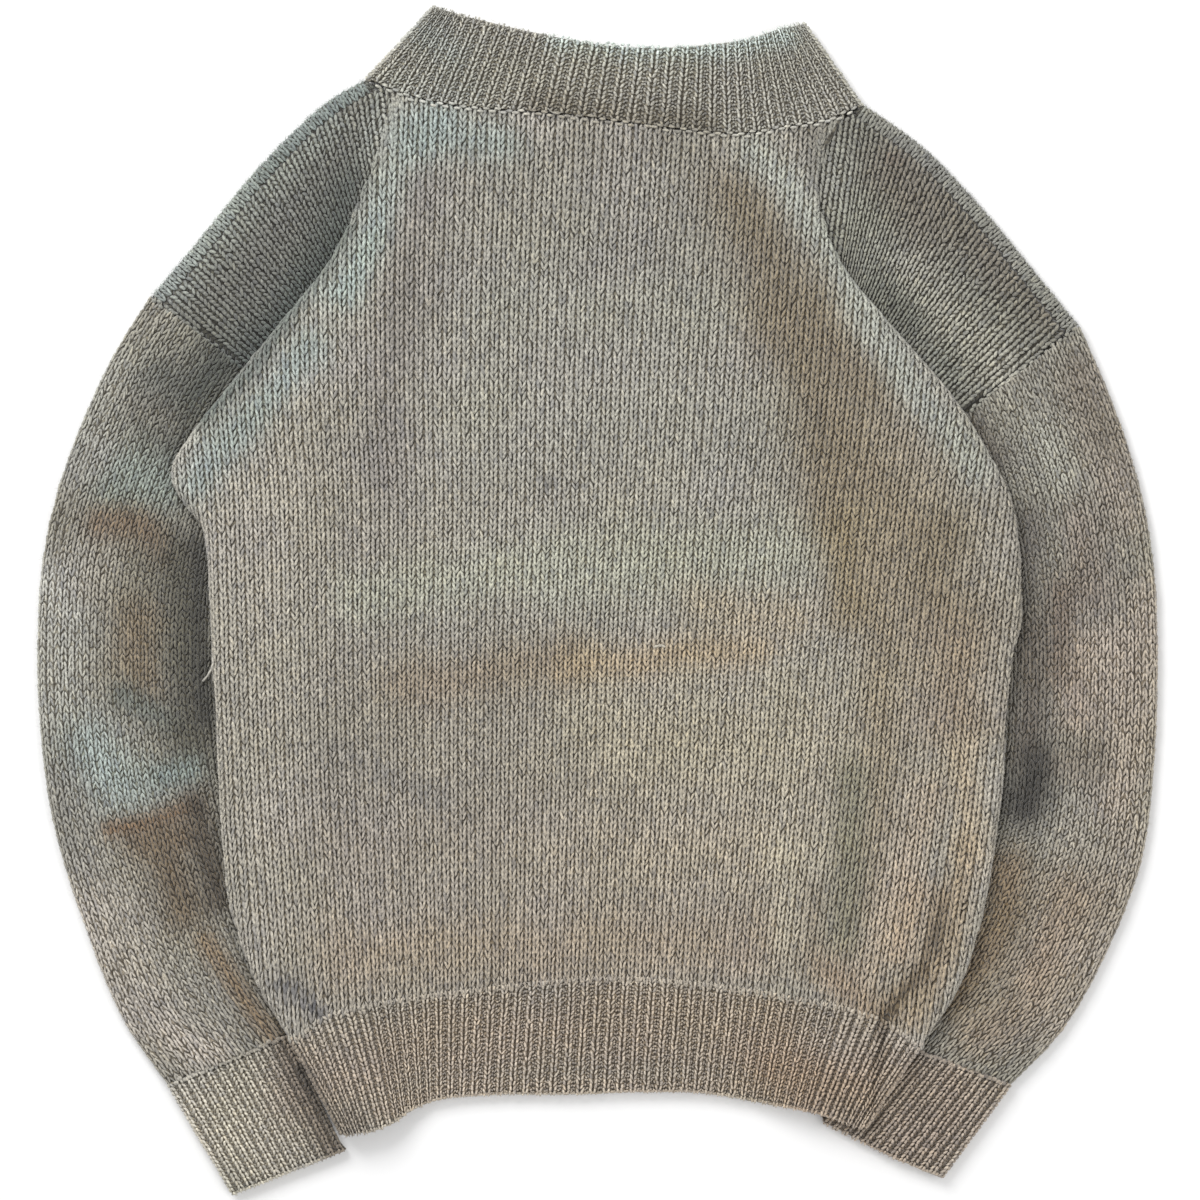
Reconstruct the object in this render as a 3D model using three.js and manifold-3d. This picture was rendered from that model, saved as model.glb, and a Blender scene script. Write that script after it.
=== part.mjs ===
// A hand-knitted wool sweater laid out flat, sleeves folded down under the sides of the body.
// Millimetres, +Z up. +Y points to the neck, and +X is the wearer's left, because the face of
// the garment is up. Every piece of cloth is a closed wall; the pieces lie on each other.

import * as THREE from "three";
import { mergeVertices } from "three/addons/utils/BufferGeometryUtils.js";
import Module from "manifold-3d";

const wasm = await Module();
wasm.setup();

// ---- driving sizes ------------------------------------------------------------------------

const WALL = 3; // stockinette, one layer
const RIB = 3.3; // ribbed neckband, hem and cuffs, one layer
const SEAM = 0.3; // gap kept between pieces that are sewn together
const FLAT = 7; // two layers lying on each other, with the air between them
const LIFT = 7.8; // how far the body rises where it lies over a sleeve
const PUFF = 2; // extra height of the body's plump sides
const SIDE_ROLL = 3.7; // roll radius of the back panel at the side seam
const RAMP = 48; // width of the slope from the flat middle up onto the sleeves
const SLEEVE_CROWN = 3; // fullness of the sleeves beside the body
const SHOULDER_SEAM_IN = 7.5; // the back panel wraps this far over the shoulder edge
const TUCK = 6; // how far the shoulder cloth runs in under the pleat
const NECK_PROUD = 1.4; // the neckband stands above the front panel
const NECK_LEVEL = 300; // height of the neckband's ends
const HEM_LEVEL = -267; // height of the hem rib's ends

const CUFF_COLUMNS = 6;
const NECK_COLUMNS = 14;
const SHOULDER_COLUMNS = 3;

// Where a sleeve's rows stand along it, from the armhole to the cuff.
const SLEEVE_ROWS = [
  0, 0.03, 0.075, 0.13, 0.195, 0.27, 0.35, 0.43, 0.51, 0.59, 0.67, 0.75, 0.83, 0.915, 1,
];

// Heights of the rows of the body's walls, closest together round the underarms.
const BODY_LEVELS = [
  299.6, 276, 246, 218, 192, 172, 155, 142, 130, 118, 107, 96, 85, 73, 60, 42, 16,
  -18, -60, -105, -150, -190, -218, -244, -267,
];

// ---- small helpers ------------------------------------------------------------------------

const clamp01 = (t) => Math.min(1, Math.max(0, t));
const smooth = (t) => clamp01(t) ** 2 * (3 - 2 * clamp01(t));
const mix = (a, b, t) => a + (b - a) * t;
const mix2 = (p, q, t) => [mix(p[0], q[0], t), mix(p[1], q[1], t)];
const away = (p, q, d) => {
  const length = Math.hypot(q[0] - p[0], q[1] - p[1]);
  return mix2(p, q, d / length);
};

// A smooth curve through points, as a function of 0..1.
function through(points) {
  const spline = new THREE.SplineCurve(points.map(([x, y]) => new THREE.Vector2(x, y)));
  return (t) => spline.getPoint(clamp01(t)).toArray();
}

// A smooth value over height, through [height, value] stations listed from the neck down.
function profile(stations) {
  const last = stations.length - 1;
  const slope = (i) => {
    const a = stations[Math.max(0, i - 1)];
    const b = stations[Math.min(last, i + 1)];
    return (b[1] - a[1]) / (b[0] - a[0]);
  };
  return (y) => {
    const height = Math.min(stations[0][0], Math.max(stations[last][0], y));
    let i = 0;
    while (i < last - 1 && height < stations[i + 1][0]) i += 1;
    const [y0, v0] = stations[i];
    const [y1, v1] = stations[i + 1];
    const span = y1 - y0;
    const t = (height - y0) / span;
    const rise = t * t * (3 - 2 * t);
    const start = t * (1 - t) ** 2 * span * slope(i);
    const end = t * t * (t - 1) * span * slope(i + 1);
    return mix(v0, v1, rise) + start + end;
  };
}

// ---- the garment's outline and the lines on it, one set for each side ----------------------

const RIGHT_SIDE = {
  sign: -1, // the wearer's right, -X
  // the pleat from the neck to the underarm, then the body's side down to the rib
  edge: profile([
    [301, -125], [273, -129], [231, -145], [201, -159], [176, -178.5], [153, -198],
    [126, -220.5], [96, -244.5], [75, -255.5], [59, -248.5], [42, -236], [0, -232],
    [-60, -229.5], [-120, -226.5], [-180, -221.5], [-216, -211.5], [-240, -201.5], [-267, -185],
  ]),
  // where the body has climbed onto the sleeve that lies under it
  inner: profile([
    [300, -108], [250, -122], [200, -140], [160, -152], [110, -156], [60, -154], [20, -158],
    [-12, -168], [-60, -182], [-96, -189], [-180, -190], [-262, -176], [-330, -140],
  ]),
  shoulder: through([[-139.5, 312.5], [-168, 294.5], [-205, 258], [-244.5, 210], [-268.5, 182]]),
  pleat: through([[-124, 300], [-129, 266], [-147, 228], [-176, 179], [-211.5, 138]]),
  fold: through([[-98, 300], [-110, 262], [-127, 200], [-142, 130], [-151.5, 60]]),
  crossing: 138,
  sleeveOuter: through([
    [-268.5, 182], [-292, 144], [-311.5, 101], [-325, 62], [-333.5, 20], [-336.3, -30],
    [-334, -84], [-326, -137], [-310, -190], [-286, -250], [-258, -291],
  ]),
  sleeveInner: through([
    [-151.5, 60], [-155, 40], [-161, 18], [-168, -8], [-176, -36], [-184, -70],
    [-191, -110], [-195, -150], [-195, -190], [-190, -228], [-186, -261],
  ]),
  cuffTop: [[-258, -291], [-186, -261]],
  cuffBottom: [[-219, -357.3], [-151.5, -331]],
};

const LEFT_SIDE = {
  sign: 1, // the wearer's left, +X
  edge: profile([
    [301, 147], [262, 132], [231, 137], [204, 148.5], [180, 166.5], [157, 185.5],
    [123, 213], [90, 233], [60, 247.5], [24, 253], [-12, 253.5], [-36, 248.5],
    [-84, 244], [-120, 241.5], [-180, 232.5], [-216, 223.5], [-243, 211.5], [-267, 195],
  ]),
  inner: profile([
    [300, 126], [250, 116], [200, 134], [160, 150], [110, 157], [48, 153], [10, 162],
    [-24, 173], [-70, 188], [-108, 196], [-186, 193], [-264, 170], [-315, 128],
  ]),
  shoulder: through([[159.5, 297.5], [197, 270.5], [232, 234], [262, 197.5], [289.5, 164]]),
  pleat: through([[146, 287], [134, 250], [150, 202], [182, 161], [222, 112]]),
  fold: through([[118, 286], [110, 256], [122, 200], [140, 130], [151.5, 48]]),
  crossing: 112,
  sleeveOuter: through([
    [289.5, 164], [306, 126], [319.5, 89], [329.5, 50], [335, 8], [336.3, -42],
    [334, -100], [327, -155], [308, -207], [281, -256], [248.5, -291],
  ]),
  sleeveInner: through([
    [151.5, 48], [158, 30], [167, 8], [176, -16], [185, -44], [193, -78],
    [199, -114], [203, -152], [202, -190], [193, -230], [178, -265],
  ]),
  cuffTop: [[248.5, -291], [178, -265]],
  cuffBottom: [[205.5, -349], [135, -314]],
};

const neckTop = through([
  [-96, 356.4], [-82, 352], [-55, 345], [-28, 339.3], [2, 334.5], [32, 332.3], [62, 333.5],
  [88, 337], [108, 343], [122, 346.5],
]);
// The seams that the neckband and the hem ribs hang from, as heights across the garment.
const neckLine = profile([
  [160, 299], [147, 292], [133, 287.5], [116, 285], [86, 280.5], [55, 282.5], [25, 286],
  [-25, 292.5], [-62, 295], [-90, 298], [-112, 303], [-128, 308.5], [-140, 314.5],
]);
const hemLine = profile([
  [195, -269], [181, -257], [164, -247.5], [120, -238], [65, -229.5], [5, -226],
  [-65, -232], [-137, -242], [-165, -249.5], [-185, -265.5],
]);
const hemBottom = through([
  [-151, -321.3], [-125, -316], [-99, -301.5], [-62, -297.3], [-20, -297.3], [22, -295.8],
  [62, -296.3], [98, -302], [130, -307.5], [159, -317.1],
]);

const acrossBody = (level, u) => mix(RIGHT_SIDE.edge(level), LEFT_SIDE.edge(level), u);

// How far a row across the body bows away from level: it follows the neck seam at the top and
// the hem seam at the bottom.
function bow(level, u) {
  const nearNeck = smooth((level - 40) / (NECK_LEVEL - 40));
  const nearHem = smooth((110 - level) / (110 + 170));
  const neck = neckLine(acrossBody(NECK_LEVEL, u)) - NECK_LEVEL;
  const hem = hemLine(acrossBody(HEM_LEVEL, u)) - HEM_LEVEL;
  return neck * nearNeck + hem * nearHem;
}

// ---- heights of the cloth over the table ---------------------------------------------------

const SIDES = [RIGHT_SIDE, LEFT_SIDE];

function rise(x, y, shift, fade) {
  const ofSide = (side) => smooth((side.sign * (x - side.inner(y)) + shift + RAMP) / RAMP);
  return SIDES.reduce((sum, side) => sum + ofSide(side), 0) * fade;
}
const backLift = (x, y) => LIFT * rise(x, y, 6, smooth((200 - y) / 50));
const frontShare = (x, y) => rise(x, y, 10, smooth((302 - y) / 150));
const frontTop = (x, y) => FLAT + (LIFT + PUFF) * frontShare(x, y);

// How far a point lies outside the body's edge.
const outside = (side, x, y) => side.sign * (x - side.edge(y));

// The sleeves fill out between their outer fold and the body's edge, and the fold that runs in
// from each elbow stands higher.
const ELBOW_FOLDS = {
  "-1": { from: [-330, 40], to: [-240, -28], height: 2.5, width: 16 },
  "1": { from: [300, 70], to: [252, -34], height: 5, width: 13 },
};

function along(fold, x, y) {
  const [ax, ay] = fold.from;
  const [bx, by] = fold.to;
  const length2 = (bx - ax) ** 2 + (by - ay) ** 2;
  const t = clamp01(((x - ax) * (bx - ax) + (y - ay) * (by - ay)) / length2);
  const distance = Math.hypot(x - mix(ax, bx, t), y - mix(ay, by, t));
  return Math.exp(-((distance / fold.width) ** 2));
}

function sleeveTop(side, x, y, fromOuter) {
  const beside = smooth((outside(side, x, y) - 3) / 26);
  const fold = ELBOW_FOLDS[side.sign];
  const full = SLEEVE_CROWN + fold.height * along(fold, x, y);
  return FLAT + full * beside * smooth(fromOuter / 30);
}

// ---- cloth walls ---------------------------------------------------------------------------

const spaced = (count, from, to) =>
  Array.from({ length: count }, (_, k) => mix(from, to, 0.5 - 0.5 * Math.cos((Math.PI * k) / (count - 1))));

// Points round a rolled edge, from one angle to another, on the wall's outside and inside.
function roll(centre, outward, z, radius, wall, angles) {
  const inside = Math.max(0.25, radius - wall);
  const at = (r, degrees) => {
    const a = THREE.MathUtils.degToRad(degrees);
    const reach = r * Math.cos(a);
    return [centre[0] + outward[0] * reach, centre[1] + outward[1] * reach, z + r * Math.sin(a)];
  };
  return { outer: angles.map((a) => at(radius, a)), inner: angles.map((a) => at(inside, a)) };
}

function unit(p, q) {
  const length = Math.hypot(q[0] - p[0], q[1] - p[1]);
  return [(q[0] - p[0]) / length, (q[1] - p[1]) / length];
}

const joined = (...runs) => ({ outer: runs.flatMap((r) => r.outer), inner: runs.flatMap((r) => r.inner) });
const flipped = (run) => ({ outer: [...run.outer].reverse(), inner: [...run.inner].reverse() });

// A layer along plan points, its wall hanging below z (upper layer) or standing above it.
function layer(points, z, wall, upper) {
  const outer = points.map(([x, y]) => [x, y, z(x, y)]);
  const step = upper ? -wall : wall;
  return { outer, inner: outer.map(([x, y, h]) => [x, y, h + step]) };
}

// One ring round a flat tube: upper layer, fold, lower layer, fold.
function tubeRing(plan, top, wall, columnsBetween) {
  const ends = [plan(0), plan(1)];
  const width = Math.hypot(ends[1][0] - ends[0][0], ends[1][1] - ends[0][1]);
  const radii = ends.map(([x, y]) => top(x, y) / 2);
  const points = columnsBetween(radii[0] / width, 1 - radii[1] / width).map(plan);
  const first = points[0];
  const last = points[points.length - 1];
  const nearOut = unit(points[1], ends[0]);
  const farOut = unit(points[points.length - 2], ends[1]);
  const near = roll(first, nearOut, radii[0], radii[0], wall, [-60, -20, 20, 60]);
  const far = roll(last, farOut, radii[1], radii[1], wall, [60, 20, -20, -60]);
  const upper = layer(points, top, wall, true);
  const lower = flipped(layer(points, () => 0, wall, false));
  return joined(upper, far, lower, near);
}

// One row across an open panel, with both its edges turned down (front) or up (back).
function panelRow(plan, z, edge, wall, us, upper) {
  const ends = [plan(0), plan(1)];
  const width = Math.hypot(ends[1][0] - ends[0][0], ends[1][1] - ends[0][1]);
  const radii = ends.map(([x, y], i) => edge(i, z(x, y), x, y).radius);
  const between = us.slice(1, -1);
  const points = [radii[0] / width, ...between, 1 - radii[1] / width].map(plan);
  const turn = (i) => {
    const p = i === 0 ? points[0] : points[points.length - 1];
    const next = i === 0 ? points[1] : points[points.length - 2];
    const height = z(p[0], p[1]);
    const radius = radii[i];
    const middle = upper ? height - radius : height + radius;
    const angles = upper ? [60, 30, 0] : [-60, -30, 0];
    const run = roll(p, unit(next, ends[i]), middle, radius, wall, angles);
    const foot = edge(i, height, p[0], p[1]).foot;
    const drop = (points3) => [...points3, [...points3[2].slice(0, 2), foot]];
    return { outer: drop(run.outer), inner: drop(run.inner) };
  };
  return joined(flipped(turn(0)), layer(points, z, wall, upper), turn(1));
}

// Closes rows of wall points into one solid. A ring closes on itself, an open row does not.
function wallSolid(rows, ring) {
  const count = rows[0].outer.length;
  const positions = [];
  for (const row of rows) {
    for (const p of [...row.outer, ...row.inner]) positions.push(...p);
  }
  const outer = (i, j) => i * 2 * count + (j % count);
  const inner = (i, j) => outer(i, j) + count;
  const index = [];
  const quad = (a, b, c, d) => index.push(a, b, c, a, c, d);
  const spans = ring ? count : count - 1;
  const last = rows.length - 1;
  for (let i = 0; i < last; i += 1) {
    for (let j = 0; j < spans; j += 1) {
      quad(outer(i, j), outer(i, j + 1), outer(i + 1, j + 1), outer(i + 1, j));
      quad(inner(i, j), inner(i + 1, j), inner(i + 1, j + 1), inner(i, j + 1));
    }
    if (!ring) {
      const end = count - 1;
      quad(outer(i, 0), outer(i + 1, 0), inner(i + 1, 0), inner(i, 0));
      quad(outer(i, end), inner(i, end), inner(i + 1, end), outer(i + 1, end));
    }
  }
  for (let j = 0; j < spans; j += 1) {
    quad(outer(0, j), inner(0, j), inner(0, j + 1), outer(0, j + 1));
    quad(outer(last, j), outer(last, j + 1), inner(last, j + 1), inner(last, j));
  }
  const geometry = new THREE.BufferGeometry();
  geometry.setAttribute("position", new THREE.Float32BufferAttribute(positions, 3));
  geometry.setIndex(index);
  return facingOut(mergeVertices(geometry, 1e-4));
}

function signedVolume(geometry) {
  const position = geometry.getAttribute("position");
  const corner = (k) => new THREE.Vector3().fromBufferAttribute(position, geometry.index.getX(k));
  let six = 0;
  for (let k = 0; k < geometry.index.count; k += 3) {
    six += corner(k).dot(corner(k + 1).cross(corner(k + 2)));
  }
  return six / 6;
}

function facingOut(geometry) {
  if (signedVolume(geometry) < 0) geometry.index.array.reverse();
  return geometry;
}

function solidOf(geometry) {
  const mesh = new wasm.Mesh({
    numProp: 3,
    vertProperties: new Float32Array(geometry.getAttribute("position").array),
    triVerts: new Uint32Array(geometry.index.array),
  });
  return new wasm.Manifold(mesh);
}

function joinedGeometry(parts) {
  const mesh = parts.map(solidOf).reduce((sum, part) => sum.add(part)).getMesh();
  const geometry = new THREE.BufferGeometry();
  geometry.setAttribute("position", new THREE.Float32BufferAttribute(mesh.vertProperties, 3));
  geometry.setIndex([...mesh.triVerts]);
  return geometry;
}

// ---- body: front and back panels and their hem ribs ----------------------------------------

const bodyRow = (level, inset) => (u) => {
  const width = acrossBody(level, 1) - acrossBody(level, 0);
  const across = mix(inset / width, 1 - inset / width, u);
  return [acrossBody(level, across), level + bow(level, across)];
};

// The columns of a body row: one over each sleeve, then down each slope to the flat middle.
function bodyColumns(level) {
  const left = acrossBody(level, 0);
  const right = acrossBody(level, 1);
  const half = SIDES.map((side) => {
    const foot = side.inner(level) - side.sign * 8;
    const top = mix(side.edge(level), foot, 0.5);
    return [top, ...[0, 0.36, 0.7, 1].map((t) => foot - side.sign * t * RAMP)];
  });
  const middle = [0.33, 0.67].map((t) => mix(half[0][4], half[1][4], t));
  const xs = [...half[0], ...middle, ...half[1].reverse()];
  return [0, ...xs.map((x) => (x - left) / (right - left)), 1];
}

const SEAM_HEIGHT = LIFT + SIDE_ROLL + SEAM;

// The front panel's edge turns down onto the shoulder cloth along the pleat, over the sleeve
// below the armhole seam, and to the side seam below the underarm.
function frontEdge(i, height, x, y) {
  const onShoulder = smooth((y - SIDES[i].crossing - 1) / 7);
  const sideSeam = smooth((114 - y) / 16);
  const over = FLAT + 0.8 - 1.15 * onShoulder;
  const foot = Math.min(height - 0.6, mix(over, SEAM_HEIGHT, sideSeam));
  return { foot, radius: Math.min(5, height - foot) };
}

function backEdge(side, height) {
  return { foot: height + SIDE_ROLL + 0.01, radius: SIDE_ROLL };
}

function frontCentre() {
  const rows = BODY_LEVELS.map((level) =>
    panelRow(bodyRow(level, 0), frontTop, frontEdge, WALL, bodyColumns(level), true));
  return wallSolid(rows, false);
}

function backCentre() {
  const rows = BODY_LEVELS.map((level) => {
    const inset = 15 * smooth((level - 66) / 22);
    return panelRow(bodyRow(level, inset), backLift, backEdge, WALL, bodyColumns(level), false);
  });
  return wallSolid(rows, false);
}

// Shoulder cloth runs from the shoulder edge in to the pleat, along rows square to the edge.
const SHOULDER_ROWS = [0, 0.14, 0.3, 0.46, 0.64, 0.82, 1];
const belowNeck = ([x, y, ...z]) => [x, Math.min(y, neckLine(x) - SEAM), ...z];

function frontShoulder(side) {
  const rows = SHOULDER_ROWS.map((t) => {
    const edge = side.shoulder(t);
    const pleat = side.pleat(t);
    const start = away(edge, pleat, SHOULDER_SEAM_IN + SEAM);
    const end = away(edge, pleat, Math.hypot(pleat[0] - edge[0], pleat[1] - edge[1]) + TUCK);
    const points = spaced(SHOULDER_COLUMNS, 0, 1).map((u) => belowNeck(mix2(start, end, u)));
    return layer(points, () => FLAT, WALL, true);
  });
  return wallSolid(rows, false);
}

function backShoulder(side) {
  const radius = FLAT / 2;
  const rows = SHOULDER_ROWS.map((t) => {
    const edge = side.shoulder(t);
    const pleat = side.pleat(t);
    const rim = away(edge, pleat, radius);
    const inward = away(edge, pleat, SHOULDER_SEAM_IN);
    const under = layer([side.fold(t), pleat, rim], () => 0, WALL, false);
    const over = layer([rim, inward], () => FLAT, WALL, true);
    const turn = roll(rim, unit(pleat, edge), radius, radius, WALL, [-60, -20, 20, 60]);
    const row = joined(under, turn, over);
    return { outer: row.outer.map(belowNeck), inner: row.inner.map(belowNeck) };
  });
  return wallSolid(rows, false);
}

// The ribs carry on from the panels' lower rows to the cast-on edge.
function hemRib(upper) {
  const wall = RIB;
  const top = (x, y) => frontTop(x, y) + RIB - WALL;
  const z = upper ? top : backLift;
  const edge = (side, height) => ({
    foot: upper ? SEAM_HEIGHT : height + SIDE_ROLL + 0.01,
    radius: upper ? Math.min(5, Math.max(1, height - SEAM_HEIGHT)) : SIDE_ROLL,
  });
  const rows = [0, 0.33, 0.66, 1].map((v) => {
    const plan = (u) => {
      const [x, y] = bodyRow(HEM_LEVEL, 0)(u);
      return mix2([x, y - SEAM], hemBottom(u), v);
    };
    return panelRow(plan, z, edge, wall, bodyColumns(HEM_LEVEL), upper);
  });
  return wallSolid(rows, false);
}

// ---- sleeves, cuffs and neckband: flat tubes -----------------------------------------------

// The columns of a sleeve's row: four outside the body's edge, two under the body.
function sleeveColumns(side, plan) {
  let [low, high] = [0, 1];
  for (let k = 0; k < 30; k += 1) {
    const middle = (low + high) / 2;
    if (outside(side, ...plan(middle)) > 1) low = middle;
    else high = middle;
  }
  return (from, to) => {
    const edge = Math.min(low, to - 0.16);
    const beyond = [0.14, 0.4, 0.7, 1].map((t) => mix(from, edge, t));
    return [from, ...beyond, mix(edge, to, 0.5), to];
  };
}

// The armhole seam bends where it passes under the pleat; the bend dies out down the sleeve.
function sleeve(side) {
  const corner = side.pleat(1);
  const seamEnds = [side.sleeveOuter(0), side.sleeveInner(0)];
  const seamWidth = Math.hypot(seamEnds[1][0] - seamEnds[0][0], seamEnds[1][1] - seamEnds[0][1]);
  const share = Math.hypot(corner[0] - seamEnds[0][0], corner[1] - seamEnds[0][1]) / seamWidth;
  const straight = mix2(...seamEnds, share);
  const rows = SLEEVE_ROWS.map((s) => {
    const outer = side.sleeveOuter(s);
    const inner = side.sleeveInner(s);
    const bend = 1 - smooth(s / 0.25);
    const plan = (u) => {
      const [x, y] = mix2(outer, inner, u);
      const hump = bend * (u < share ? u / share : (1 - u) / (1 - share));
      const seam = s === 0 ? 2 * SEAM : 0;
      return [x + hump * (corner[0] - straight[0]), y + hump * (corner[1] - straight[1]) - seam];
    };
    const top = (x, y) => sleeveTop(side, x, y, Math.hypot(x - outer[0], y - outer[1]));
    return tubeRing(plan, top, WALL, sleeveColumns(side, plan));
  });
  return wallSolid(rows, true);
}

function cuff(side) {
  const rows = [0, 0.33, 0.66, 1].map((v) => {
    const outer = mix2(side.cuffTop[0], side.cuffBottom[0], v);
    const inner = mix2(side.cuffTop[1], side.cuffBottom[1], v);
    const seam = v === 0 ? 1.3 * SEAM : 0;
    const plan = (u) => {
      const [x, y] = mix2(outer, inner, u);
      return [x, y - seam];
    };
    return tubeRing(plan, () => FLAT + 0.4, RIB, (from, to) => spaced(CUFF_COLUMNS, from, to));
  });
  return wallSolid(rows, true);
}

function neckband() {
  const rows = [0, 0.33, 0.66, 1].map((v) => {
    const seam = v === 0 ? 1.2 * SEAM : 0;
    const plan = (u) => {
      const x = mix(-139.5, 159.5, u);
      return mix2([x, neckLine(x) + seam], neckTop(u), v);
    };
    return tubeRing(plan, () => FLAT + NECK_PROUD, RIB + 0.4, (from, to) => spaced(NECK_COLUMNS, from, to));
  });
  return wallSolid(rows, true);
}

// ---- the garment ---------------------------------------------------------------------------

const wool = (color) => new THREE.MeshStandardMaterial({ color, roughness: 0.95, metalness: 0 });

const pieces = {
  front_panel: [joinedGeometry([frontCentre(), ...SIDES.map(frontShoulder)]), 0x948f84],
  back_panel: [joinedGeometry([backCentre(), ...SIDES.map(backShoulder)]), 0x8d897e],
  right_sleeve: [sleeve(RIGHT_SIDE), 0x7f7d73],
  left_sleeve: [sleeve(LEFT_SIDE), 0x857f74],
  neckband: [neckband(), 0x83837c],
  front_hem_rib: [hemRib(true), 0x8c8278],
  back_hem_rib: [hemRib(false), 0x857c72],
  right_cuff: [cuff(RIGHT_SIDE), 0x9c9790],
  left_cuff: [cuff(LEFT_SIDE), 0x877e74],
};

const sweater = new THREE.Group();
for (const [name, [geometry, color]] of Object.entries(pieces)) {
  geometry.computeVertexNormals();
  const mesh = new THREE.Mesh(geometry, wool(color));
  mesh.name = name;
  sweater.add(mesh);
}

export default sweater;
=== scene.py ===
"""A hand-knitted wool sweater laid out flat, its sleeves folded down under the body's sides.

Every surface is worked out in millimetres as a chart: a function from a place in the knitting
(which stitch column, which row) to a point of the cloth's face. The ground cloth is a grid laid
on a chart, and the stitches are small spindles of yarn carried onto the same chart.
"""

import math

import bmesh
import bpy
import numpy as np
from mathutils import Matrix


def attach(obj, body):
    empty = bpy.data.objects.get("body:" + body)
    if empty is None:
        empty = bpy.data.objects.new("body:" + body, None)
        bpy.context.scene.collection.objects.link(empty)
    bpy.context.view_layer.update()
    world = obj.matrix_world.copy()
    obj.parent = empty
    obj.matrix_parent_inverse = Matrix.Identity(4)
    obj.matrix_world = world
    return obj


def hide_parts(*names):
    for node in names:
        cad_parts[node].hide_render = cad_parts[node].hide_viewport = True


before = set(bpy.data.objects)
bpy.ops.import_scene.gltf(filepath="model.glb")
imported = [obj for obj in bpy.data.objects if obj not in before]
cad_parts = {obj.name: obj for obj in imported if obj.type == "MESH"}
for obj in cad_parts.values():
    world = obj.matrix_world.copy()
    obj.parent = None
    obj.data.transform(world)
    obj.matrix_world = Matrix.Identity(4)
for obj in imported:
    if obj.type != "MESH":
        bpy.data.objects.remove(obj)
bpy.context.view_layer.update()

MM = 0.001
FULL_TURN = 2 * math.pi
chance = np.random.default_rng(7)

# ---- driving sizes, in millimetres -----------------------------------------

WALL = 3.0  # one layer of stockinette
RIB = 3.3  # one layer of rib
FLAT = 7.0  # two layers lying on each other
LIFT = 7.8  # how far the body rises over a sleeve
PUFF = 2.0  # extra height of the body's plump sides
SIDE_ROLL = 3.7  # roll of the back panel at the side seam
RAMP = 48.0  # the slope from the flat middle up onto the sleeves
SEAM = 0.3
SIDE_SEAM_TOP = 92  # level at which the front's edge comes down to the back's
OVER_SLEEVE, OVER_SHOULDER = 0.8, -0.35  # the front's edge over the top of what is under it
SLEEVE_CROWN = 3.0
SHOULDER_SEAM_IN = 7.5
NECK_PROUD = 1.4
NECK_LEVEL = 300.0
HEM_LEVEL = -267.0

BODY_ROW = 4.13  # height of one row at the sides of the body
SHOULDER_WALE, SHOULDER_ROW = 7.4, 3.2
SLEEVE_WALE, SLEEVE_ROW = 4.4, 4.5
RIM_WALE, RIM_ROW = 4.6, 3.4
RIB_KNIT_ROW, RIB_PURL_ROW = 2.8, 2.2
HAIR_RADIUS = 0.09
NECK_RIBS, HEM_RIBS, CUFF_RIBS = 34, 51, 12.5
PULLED_RIBS = 8  # this many ribs at each end of the hem are pulled close together

FOLD = FLAT / 2  # radius of a fold in two layers of cloth
FIRST_ROW = NECK_LEVEL - 0.4  # level of the body's first row of stitches
CLOTH_TOP = NECK_LEVEL - 0.5  # level at which the body's ground cloth starts
SUNK = 0.9  # the ground cloth lies this far under the tops of the stitches
GROUND = 1.9  # thickness of the ground cloth
TUBE_GROUND = 1.6  # thickness of the ground cloth in the neckband and cuffs


# ---- curves ----------------------------------------------------------------


def clamp01(t):
    return np.clip(t, 0.0, 1.0)


def smooth(t):
    t = clamp01(t)
    return t * t * (3 - 2 * t)


def mix(a, b, t):
    return a + (b - a) * t


def mix2(p, q, t):
    return p + (q - p) * np.asarray(t)[..., None]


def length(v):
    return np.linalg.norm(v, axis=-1)


def unit(v):
    return v / np.maximum(length(v), 1e-9)[..., None]


def stack(*parts):
    return np.stack(parts, axis=-1)


def at_height(place, z):
    return np.concatenate([place, z[..., None]], axis=-1)


def through(points):
    """A smooth curve through points, as a function of an array of numbers from 0 to 1."""
    points = np.array(points, float)
    last = len(points) - 1

    def at(t):
        place = clamp01(np.asarray(t, float)) * last
        i = np.minimum(place.astype(int), last - 1)
        w = (place - i)[..., None]
        p0, p1 = points[np.maximum(i - 1, 0)], points[i]
        p2, p3 = points[i + 1], points[np.minimum(i + 2, last)]
        v0, v1 = (p2 - p0) / 2, (p3 - p1) / 2
        return (
            (2 * p1 - 2 * p2 + v0 + v1) * w**3
            + (-3 * p1 + 3 * p2 - 2 * v0 - v1) * w**2
            + v0 * w
            + p1
        )

    return at


def profile(stations):
    """A smooth value over height, through (height, value) stations listed downwards."""
    heights, values = np.array(stations, float).T
    last = len(heights) - 1
    before = np.maximum(np.arange(last + 1) - 1, 0)
    after = np.minimum(np.arange(last + 1) + 1, last)
    slope = (values[after] - values[before]) / (heights[after] - heights[before])

    def at(y):
        y = np.clip(np.asarray(y, float), heights[last], heights[0])
        i = np.clip(np.searchsorted(-heights, -y, side="right") - 1, 0, last - 1)
        span = heights[i + 1] - heights[i]
        t = (y - heights[i]) / span
        rise = t * t * (3 - 2 * t)
        start = t * (1 - t) ** 2 * span * slope[i]
        end = t * t * (t - 1) * span * slope[i + 1]
        return mix(values[i], values[i + 1], rise) + start + end

    return at


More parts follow.
